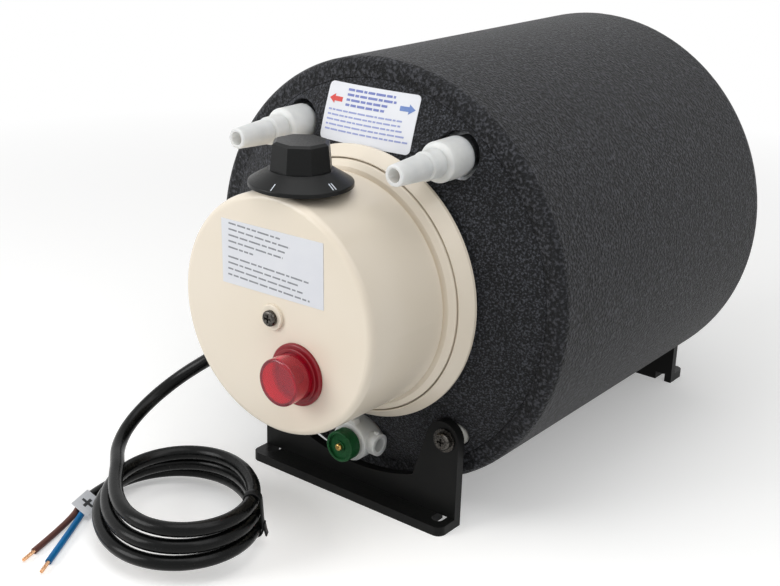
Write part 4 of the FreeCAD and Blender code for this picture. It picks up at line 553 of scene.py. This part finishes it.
def printed_bars(bars, place, height):
    """
    Printed marks: each bar, from (left, low) to (right, high) on its sheet, is a run of
    rectangles that stand on the sheet and reach up by the height of the ink. The function
    `place` puts points (across, up, height) on the sheet itself.
    """
    left, low, right, high = np.array(bars, float).T
    share = np.linspace(0, 1, BAR_ROWS)
    across = left[:, None] + (right - left)[:, None] * share
    across = np.repeat(across[:, :, None], 4, axis=2)
    up = np.repeat(np.stack([low, high, high, low], axis=1)[:, None, :], BAR_ROWS, axis=1)
    rise = np.broadcast_to(height * INK_EDGE, up.shape)
    return place(across, up, rise), skin(len(bars), BAR_ROWS, 4)


def word_bars(left, right, first, step, rows, pitch, thickness, seed):
    """Rows of dashes of unequal length, as small print looks from afar."""
    chance = np.random.default_rng(seed)
    bars = []
    for top in first - step * np.arange(rows):
        spot = left
        edge = left + (right - left) * chance.uniform(*ROW_FILL)
        while spot < edge:
            end = min(spot + pitch * chance.uniform(*DASH_LENGTH), edge)
            bars.append((spot, top - thickness, end, top))
            spot = end + pitch * DASH_GAP
    return bars


def turned(middle, degrees, across, up):
    """Points (across, up) of a sheet that is turned round its middle, as X and Z of the frame."""
    turn = math.radians(degrees)
    x = middle[0] + across * math.cos(turn) - up * math.sin(turn)
    z = middle[2] + across * math.sin(turn) + up * math.cos(turn)
    return x, z


def print_rating_label():
    """Rows of grey dashes in three blocks, on the flat label of the cover."""
    low, middle = low_and_middle("rating_label")

    def place(across, up, height):
        x, z = turned(middle, RATING_TURN, across, up)
        return np.stack([x, np.full_like(x, low[1]) - height, z], axis=-1)

    bars = [bar for block in RATING_BLOCKS for bar in word_bars(*block)]
    grey = ink("grey_ink", "808388", "8e9196")
    build("rating_print", printed_bars(bars, place, RATING_INK), grey)


def print_connection_label():
    """
    Arrows towards the two hose tails, and rows of dashes between and below them. The sheet lies
    on a ball, the domed foam: a point's depth in front of the ball's middle is the root of the
    ball's radius squared less the squares of the point's X and Z from there.
    """
    _, middle = low_and_middle("connection_label")
    ball = np.array([0, DOME_MIDDLE_Y, AXIS_Z])
    corners = points_of(NODE["connection_label"].data) / MM
    radius = np.linalg.norm(corners - ball, axis=1).max()

    def place(across, up, height):
        x, z = turned(middle, CONNECTION_TURN, across, up)
        depth = np.sqrt((radius + height) ** 2 - (x - ball[0]) ** 2 - (z - ball[2]) ** 2)
        return np.stack([x, ball[1] - depth, z], axis=-1)

    def arrow(tip, tail, rise):
        """A run of rectangles: as wide as the shaft up to the neck, then narrowing to the tip."""
        neck = tip - math.copysign(ARROW_HEAD, tip - tail)
        share = np.linspace(0, 1, ARROW_ROWS)
        across = np.concatenate([tail + (neck - tail) * share, neck + (tip - neck) * share])
        head = HEAD_HALF * (1 - share) + TIP_HALF * share
        half = np.concatenate([np.full(ARROW_ROWS, SHAFT_HALF), head])
        across = np.repeat(across[None, :, None], 4, axis=2)
        up = rise + half[None, :, None] * np.array([-1.0, 1.0, 1.0, -1.0])
        height = np.broadcast_to(CONNECTION_INK * INK_EDGE, up.shape)
        return place(across, up, height), skin(1, 2 * ARROW_ROWS, 4)

    red = ink("red_ink", "c8362f", "d4473d")
    blue = ink("blue_ink", "5a78b4", "6a86bf")
    violet = ink("violet_ink", "6673b0", "7480ba")
    pale_violet = ink("pale_violet_ink", "8d97c6", "99a3cd")
    heading = printed_bars(word_bars(*HEADING_BLOCK), place, CONNECTION_INK)
    lines = printed_bars(word_bars(*LINES_BLOCK), place, CONNECTION_INK)
    for name, shape, material in (
        ("hot_arrow", arrow(*HOT_ARROW), red),
        ("cold_arrow", arrow(*COLD_ARROW), blue),
        ("heading_print", heading, violet),
        ("lines_print", lines, pale_violet),
    ):
        build(name, shape, material)


def mark_knob():
    """Pointer marks on the knob's skirt: a cone, whose height falls evenly as the radius grows."""
    low, middle = low_and_middle("control_knob")
    slope = (SKIRT_HIGH - SKIRT_LOW) / (SKIRT_OUTER - SKIRT_INNER)

    def mark(degrees, start, end, half):
        angle = math.radians(degrees)
        way = np.array([math.cos(angle), math.sin(angle), 0])
        side = np.array([-way[1], way[0], 0])

        def place(out, beside, height):
            rise = low[2] + SKIRT_LOW + (SKIRT_OUTER - out) * slope + height
            foot = np.stack(
                [np.full_like(out, middle[0]), np.full_like(out, middle[1]), rise], axis=-1
            )
            return foot + out[..., None] * way + beside[..., None] * side

        return printed_bars([(start, -half, end, half)], place, KNOB_INK)

    white = ink("white_ink", "c9d2dc", "d8dee6")
    marks = join(*(mark(*sizes) for sizes in KNOB_MARKS))
    build("knob_marks", marks, white, body="temperature_knob")


# The cord and what is on it

CORD_R = 3.6
CORE_R = 1.6
GLAND_TURN = 215
GLAND_Y = FRONT_Y - 42.7
GLAND_REACH = 72.0  # from the tank's axis to where the cord leaves the gland
GLAND_STRAIGHT = 11.0
LEAD_POINTS = (
    (-79.3, -151.7, 59.9),
    (-91.7, -160.0, 49.0),
    (-98.1, -174.3, 38.8),
    (-96.7, -191.1, 31.2),
    (-87.6, -206.6, 27.0),
    (-73.7, -218.4, 27.3),
)

COIL_START = 180
COIL_TURNS = 3.05  # turns from the coil's top to the floor
COIL_X = (-33.7, -1.9)  # the coil's middle, and how far it drifts in a turn
COIL_Y = (-210.9, -0.62)
COIL_RADIUS = (36.8, 2.56)  # at the top, and how much it grows in a turn
COIL_FALL = 7.7  # in a turn
COIL_OVAL = 5.0
COIL_OVAL_TURN = 239
COIL_LIFT = 2.0
COIL_LIFT_TURN = 34
FLARE = 6.0
FLARE_START = 2.65  # turns
FLARE_LENGTH = 0.4  # turns

LEAD_MEETS = 0.1  # turns at which the lead joins the coil
LEAD_OVERLAP = 8.0
RING_TURNS = (0.145, 3.01)
RING_POINTS = 70
SHEATH_REACH = 2 * CORD_R  # from the coil's last point to the sheath's end

CORES = (  # name, side of the cord, place of its bend and of its bare end on the floor, slot
    ("core_brown", 1, (-83.2, -241.2), (-73.7, -271.1), "brown_core"),
    ("core_blue", -1, (-79.2, -241.4), (-61.1, -272.6), "blue_core"),
)
CORE_Z = 1.9
CORE_SPREAD = 1.9
CORE_STRAIGHT = 5.0

STRAND_R = 0.34
STRANDS = 6  # round the one in the middle
STRAND_CIRCLE = 0.62
STRAND_LAY = 9.0  # length of one turn of the helix
STRAND_RUN = (-0.8, 8.8)  # from inside the core's end to the tip
STRAND_ROUND = 0.3  # length of a strand's rounded tip
STRAND_BLUNT = 0.02  # left off that round, so that the last ring of points stays open
STRAND_ROWS = 30
STRAND_SIDES = 8

TAG_ALONG = (0.286, -0.957, -0.05)
TAG_ACROSS = (0.83, 0.25, -0.56)
PLUS_BARS = ((-0.8, -3.2, 0.8, 3.2), (-3.2, -0.8, -0.8, 0.8), (0.8, -0.8, 3.2, 0.8))
PLUS_INK = 0.06

STRAP_TURN = 19
STRAP_GAP = 0.45  # from the cord to the middle of the strap
STRAP_PROFILE = (  # across the strap, and outwards
    (-2.3, -0.4), (2.3, -0.4), (2.4, 0.1), (2.1, 0.4), (-2.1, 0.4), (-2.4, 0.1)
)
STRAP_BEND_ROWS = 13
TAIL_ROWS = 8
TAIL_START = (0.75, 3.0)  # outside the loop, and above its lowest turn
TAIL_LENGTH = 6.5
TAIL_SWAY = 0.8
TAIL_SHARE = 0.9  # of the strap's width


def unit(way):
    """A direction as a vector of length one."""
    return way / np.linalg.norm(way)


def coil_points(turns):
    """
    Centre line of the coil for an array of turn counts. It winds to the left as seen from above,
    from the top down: the radius grows and the height falls evenly with the turns. A cosine of
    twice the angle makes the ring oval, a cosine of the angle tilts it, and the last part swings
    outwards along a smooth step.
    """
    angle = np.radians(COIL_START + 360 * turns)
    step = np.clip((turns - FLARE_START) / FLARE_LENGTH, 0, 1)
    flare = FLARE * step * step * (3 - 2 * step)
    oval = COIL_OVAL * np.cos(2 * (angle - math.radians(COIL_OVAL_TURN)))
    reach = COIL_RADIUS[0] + COIL_RADIUS[1] * turns - oval + flare
    lift = COIL_LIFT * (1 + np.cos(angle - math.radians(COIL_LIFT_TURN)))
    height = CORD_R + COIL_FALL * (COIL_TURNS - turns) + lift
    x = COIL_X[0] + COIL_X[1] * turns + reach * np.cos(angle)
    y = COIL_Y[0] + COIL_Y[1] * turns + reach * np.sin(angle)
    return np.stack([x, y, height], axis=-1)


def coil_direction(turns):
    """Unit direction of the coil's centre line, from two points close together."""
    step = 1e-4
    return unit(coil_points(np.array(turns + step)) - coil_points(np.array(turns - step)))


def nurbs(name, points, radius, material, replaces, slot):
    """A round cord along one smooth NURBS curve of order 3 through its control points."""
    data = bpy.data.curves.new(name, "CURVE")
    data.dimensions = "3D"
    spline = data.splines.new("NURBS")
    spline.points.add(len(points) - 1)
    flat = np.hstack([np.asarray(points) * MM, np.ones((len(points), 1))])
    spline.points.foreach_set("co", flat.ravel())
    spline.order_u = 3
    spline.use_endpoint_u = True
    spline.resolution_u = 8
    data.bevel_depth = radius * MM
    data.bevel_resolution = 7
    data.use_fill_caps = True
    data.materials.append(material)
    piece = bpy.data.objects.new(name, data)
    bpy.context.scene.collection.objects.link(piece)
    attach(piece, BODY)
    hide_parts(*replaces)
    return piece


def curve_length(piece):
    """The length of a cord's centre line, in metres, measured on the curve without its thickness."""
    data = piece.data.copy()
    data.bevel_depth = 0
    bare = bpy.data.objects.new("measured", data)
    mesh = bpy.data.meshes.new_from_object(bare)
    line = points_of(mesh)
    bpy.data.objects.remove(bare)
    bpy.data.meshes.remove(mesh)
    bpy.data.curves.remove(data)
    return float(np.linalg.norm(np.diff(line, axis=0), axis=1).sum())


def strip_copper(ends, copper):
    """
    Bare copper at each core's end: one strand runs in the middle, and the others are laid round
    it as helices, with their angle growing evenly along the core. A strand's radius falls to its
    tip as a quarter circle does.
    """
    shapes = []
    for end, way in ends:
        way = unit(way)
        side = np.cross(way, (0, 0, 1))
        over = np.cross(side, way)
        run = np.linspace(*STRAND_RUN, STRAND_ROWS)
        start = np.radians(np.arange(STRANDS) * 360 / STRANDS)
        turn = start[:, None] + run * 2 * math.pi / STRAND_LAY
        ring = np.cos(turn)[..., None] * side + np.sin(turn)[..., None] * over
        ring = np.concatenate([ring * STRAND_CIRCLE, np.zeros((1, STRAND_ROWS, 3))])
        tip = np.clip((run[-1] + STRAND_BLUNT - run) / STRAND_ROUND, 0, 1)
        radius = STRAND_R * np.sqrt(1 - (1 - tip) ** 2)
        shapes.append(rods(end + run[:, None] * way + ring, way, radius, STRAND_SIDES))
    return build("copper_strands", join(*shapes), copper,
                 replaces=["cord_core_ends"], smooth=True)


def mark_tag():
    """
    The plus sign on the polarity tag: an upright bar and two short ones, laid on the tag's upper
    face. Its middle and height are read from the tag, whose long edge runs along the cores.
    """
    along = unit(np.array(TAG_ALONG))
    normal = unit(np.cross(along, TAG_ACROSS))
    normal *= np.sign(normal[2])
    axes = np.stack([np.cross(normal, along), along, normal])
    reach = points_of(NODE["polarity_tag"].data) / MM @ axes.T
    middle = (reach.min(axis=0) + reach.max(axis=0)) / 2
    middle[2] = reach[:, 2].max()

    def place(beside, up, height):
        return (np.stack([beside, up, height], axis=-1) + middle) @ axes

    black = ink("black_ink", "232527", "303335")
    return build("polarity_mark", printed_bars(PLUS_BARS, place, PLUS_INK), black)


def strap_turns(rubber):
    """
    The tie: a flat strap drawn tight round the three stacked turns. Its loop is two half circles
    joined by straight sides, and its flat section, narrower on the outside, is carried round it. A
    short tail leaves below, its sway growing with the square of its length.
    """
    turn = (STRAP_TURN + 360 - COIL_START) / 360
    turns = coil_points(turn + np.arange(3))
    way = coil_direction(turn + 1)
    way[2] = 0
    way = unit(way)
    top, bottom = turns[0], turns[-1]
    bottom = bottom - way * np.dot(bottom - top, way)
    lean = unit(bottom - top)
    side = np.cross(lean, way)
    bend = np.linspace(0, math.pi, STRAP_BEND_ROWS)[:, None]
    reach = CORD_R + STRAP_GAP
    over_top = -side * np.cos(bend) - lean * np.sin(bend)
    below = side * np.cos(bend) + lean * np.sin(bend)
    line = np.concatenate([top + over_top * reach, bottom + below * reach])
    face = np.concatenate([over_top, below])
    line = np.concatenate([line, line[:1]])
    face = np.concatenate([face, face[:1]])
    profile = np.array(STRAP_PROFILE)
    loop = line[:, None, :] + profile[:, :1] * way + profile[:, 1, None] * face[:, None, :]
    share = np.linspace(0, 1, TAIL_ROWS)[:, None]
    start = bottom + side * (reach + TAIL_START[0]) - lean * TAIL_START[1]
    tail_line = start + lean * TAIL_LENGTH * share + side * TAIL_SWAY * share * share
    tail_profile = profile[:, :1] * way + profile[:, 1, None] * side
    tail = tail_line[:, None, :] + tail_profile * TAIL_SHARE
    corners = len(STRAP_PROFILE)
    shape = join((loop, skin(1, len(line), corners)), (tail, skin(1, TAIL_ROWS, corners)))
    return build("strap", shape, rubber, replaces=["cord_tie"], smooth=True)


def lay_cord(sheath, brown, blue, copper, rubber):
    """The sheathed lead from the gland to the coil and round it, then the two cores."""
    angle = math.radians(GLAND_TURN)
    outward = np.array([math.cos(angle), 0, math.sin(angle)])
    gland = np.array([0, GLAND_Y, AXIS_Z]) + outward * GLAND_REACH
    start = coil_points(np.array(LEAD_MEETS))
    before_start = start - coil_direction(LEAD_MEETS) * LEAD_OVERLAP
    ring = coil_points(np.linspace(*RING_TURNS, RING_POINTS))
    end_way = coil_direction(RING_TURNS[1])
    sheath_end = ring[-1] + end_way * SHEATH_REACH
    points = np.vstack(
        [gland, gland + outward * GLAND_STRAIGHT, LEAD_POINTS, before_start, start, ring, sheath_end]
    )
    cord = nurbs("power_cord", points, CORD_R, sheath, ["power_cord_lead", "power_cord_coil"],
                 "black_sheath")
    side = unit(np.array([-end_way[1], end_way[0], 0]))
    bare_ends = []
    for (name, sign, bend, bare, slot), material in zip(CORES, (brown, blue)):
        first = sheath_end - side * CORE_SPREAD * sign
        bend, bare = np.array([*bend, CORE_Z]), np.array([*bare, CORE_Z])
        route = [first, first + end_way * CORE_STRAIGHT, bend, bare]
        core = nurbs(name, route, CORE_R, material, ["cord_" + name], slot)
        curve_length(core)
        bare_ends.append((bare, bare - bend))
    curve_length(cord)
    strap_turns(rubber)
    mark_tag()
    strip_copper(bare_ends, copper)


# The whole

aim_camera()
light_scene()
lay_floor()
lay_cord(
    soft_sheath("pvc_sheath", "050606", "090a0a", roughness=0.24),
    soft_sheath("pvc_brown", "5a3a34", "6b463d", roughness=0.42),
    soft_sheath("pvc_blue", "0b5c90", "0f6ca6", roughness=0.4),
    metal("copper_strand", "ecc49c", "d6a075", grain=0.5, roughness=0.25),
    soft_sheath("black_strap", "0b0c0d", "131415", roughness=0.45),
)
print_rating_label()
print_connection_label()
mark_knob()

paint_nodes(crosslinked_foam("foam_skin", grain=1.4, pale="45464b"), "foam_wrap", "rear_foam_disc")
paint_nodes(crosslinked_foam("foam_disc_skin", grain=1.0, pale="484a50"), "front_foam_disc")
paint_nodes(
    moulded_abs("cream_abs", "e8dece", "e5dac8", roughness=0.22), "control_cover", "cover_base_ring"
)
paint_nodes(moulded_abs("red_abs", "8f1420", "7a0f1a", roughness=0.25), "lamp_bezel", "lamp_nut")
paint_nodes(red_polycarbonate(), "lamp_lens")
paint_nodes(lamp_glass(), "lamp_bulb")
paint_nodes(
    natural_nylon("natural_nylon", "d3d5d4", "dfe0de"),
    "hot_outlet_connector",
    "cold_inlet_connector",
    "drain_valve_body",
)
# The spacers get a greyer copy of the connectors' nylon: painted shade for the shadow that falls on
# them between the bracket's web and the foam.
paint_nodes(natural_nylon("nylon_painted_shade", "b9b8b2", "c6c5bf"), "bracket_spacers")
paint_nodes(
    grained_plastic("black_phenolic", "0b0c0c", "121313", grain=0.9, depth=0.012, roughness=0.36),
    "control_knob",
)
paint_nodes(
    grained_plastic("green_nylon", "0f3d1f", "1d5a30", grain=0.8, depth=0.03, roughness=0.38),
    "drain_knob",
)
paint_nodes(
    grained_plastic("black_polyamide", "141516", "202224", grain=0.7, depth=0.03, roughness=0.45),
    "cable_gland",
    "safety_cutout",
)
paint_nodes(
    grained_plastic("urea_moulding", "a89a78", "c2b491", grain=1.5, depth=0.03, roughness=0.45),
    "thermostat_body",
    "terminal_block",
)
paint_nodes(powder_coat(), "front_bracket", "rear_bracket")
paint_nodes(
    metal("black_zinc", "625f5b", "2c2a28", grain=0.9, roughness=0.27),
    "bracket_screws",
    "bracket_washers",
    "cover_screw",
)
paint_nodes(
    metal("brass", "c9a866", "a68444", grain=1.0, roughness=0.3),
    "drain_knob_screw",
    "drain_valve_stem",
    "element_terminals",
    "terminal_screws",
    "thermostat_bulb",
    "thermostat_capillary",
)
paint_nodes(
    metal("drawn_steel", "b9bbbd", "8d9092", grain=1.2, roughness=0.35, stretch=(1, 0.1, 1)),
    "tank_shell",
    "tank_front_dome",
    "tank_rear_dome",
    "tank_neck_ring",
    "tank_pipe_stubs",
    "element_plate",
    "heating_element",
    "thermostat_pocket",
    "thermostat_spindle",
    "cover_pillar",
    "hot_outlet_tube",
    "cold_inlet_tube",
    "mount_bosses",
)
paint_nodes(
    metal("zinc_plate", "c4c6c8", "9da0a3", grain=2.5, roughness=0.4),
    "element_plate_bolts",
    "thermostat_bracket",
)
paint_nodes(label_film("white_film", "dcdee3", "d8dae0"), "rating_label", "connection_label")
paint_nodes(label_film("tag_film", "e2e4e8", "d4d7dc"), "polarity_tag")
paint_nodes(
    soft_sheath("black_rubber", "121314", "1d1e1f", roughness=0.5),
    "connector_seals",
    "element_gasket",
)
paint_nodes(soft_sheath("pvc_brown_wire", "5a3a34", "6b463d", roughness=0.42), "supply_wires")
paint_nodes(soft_sheath("pvc_blue_wire", "0b4a78", "0f5a8c", roughness=0.4), "element_wires")

bpy.context.scene.view_settings.view_transform = "Standard"
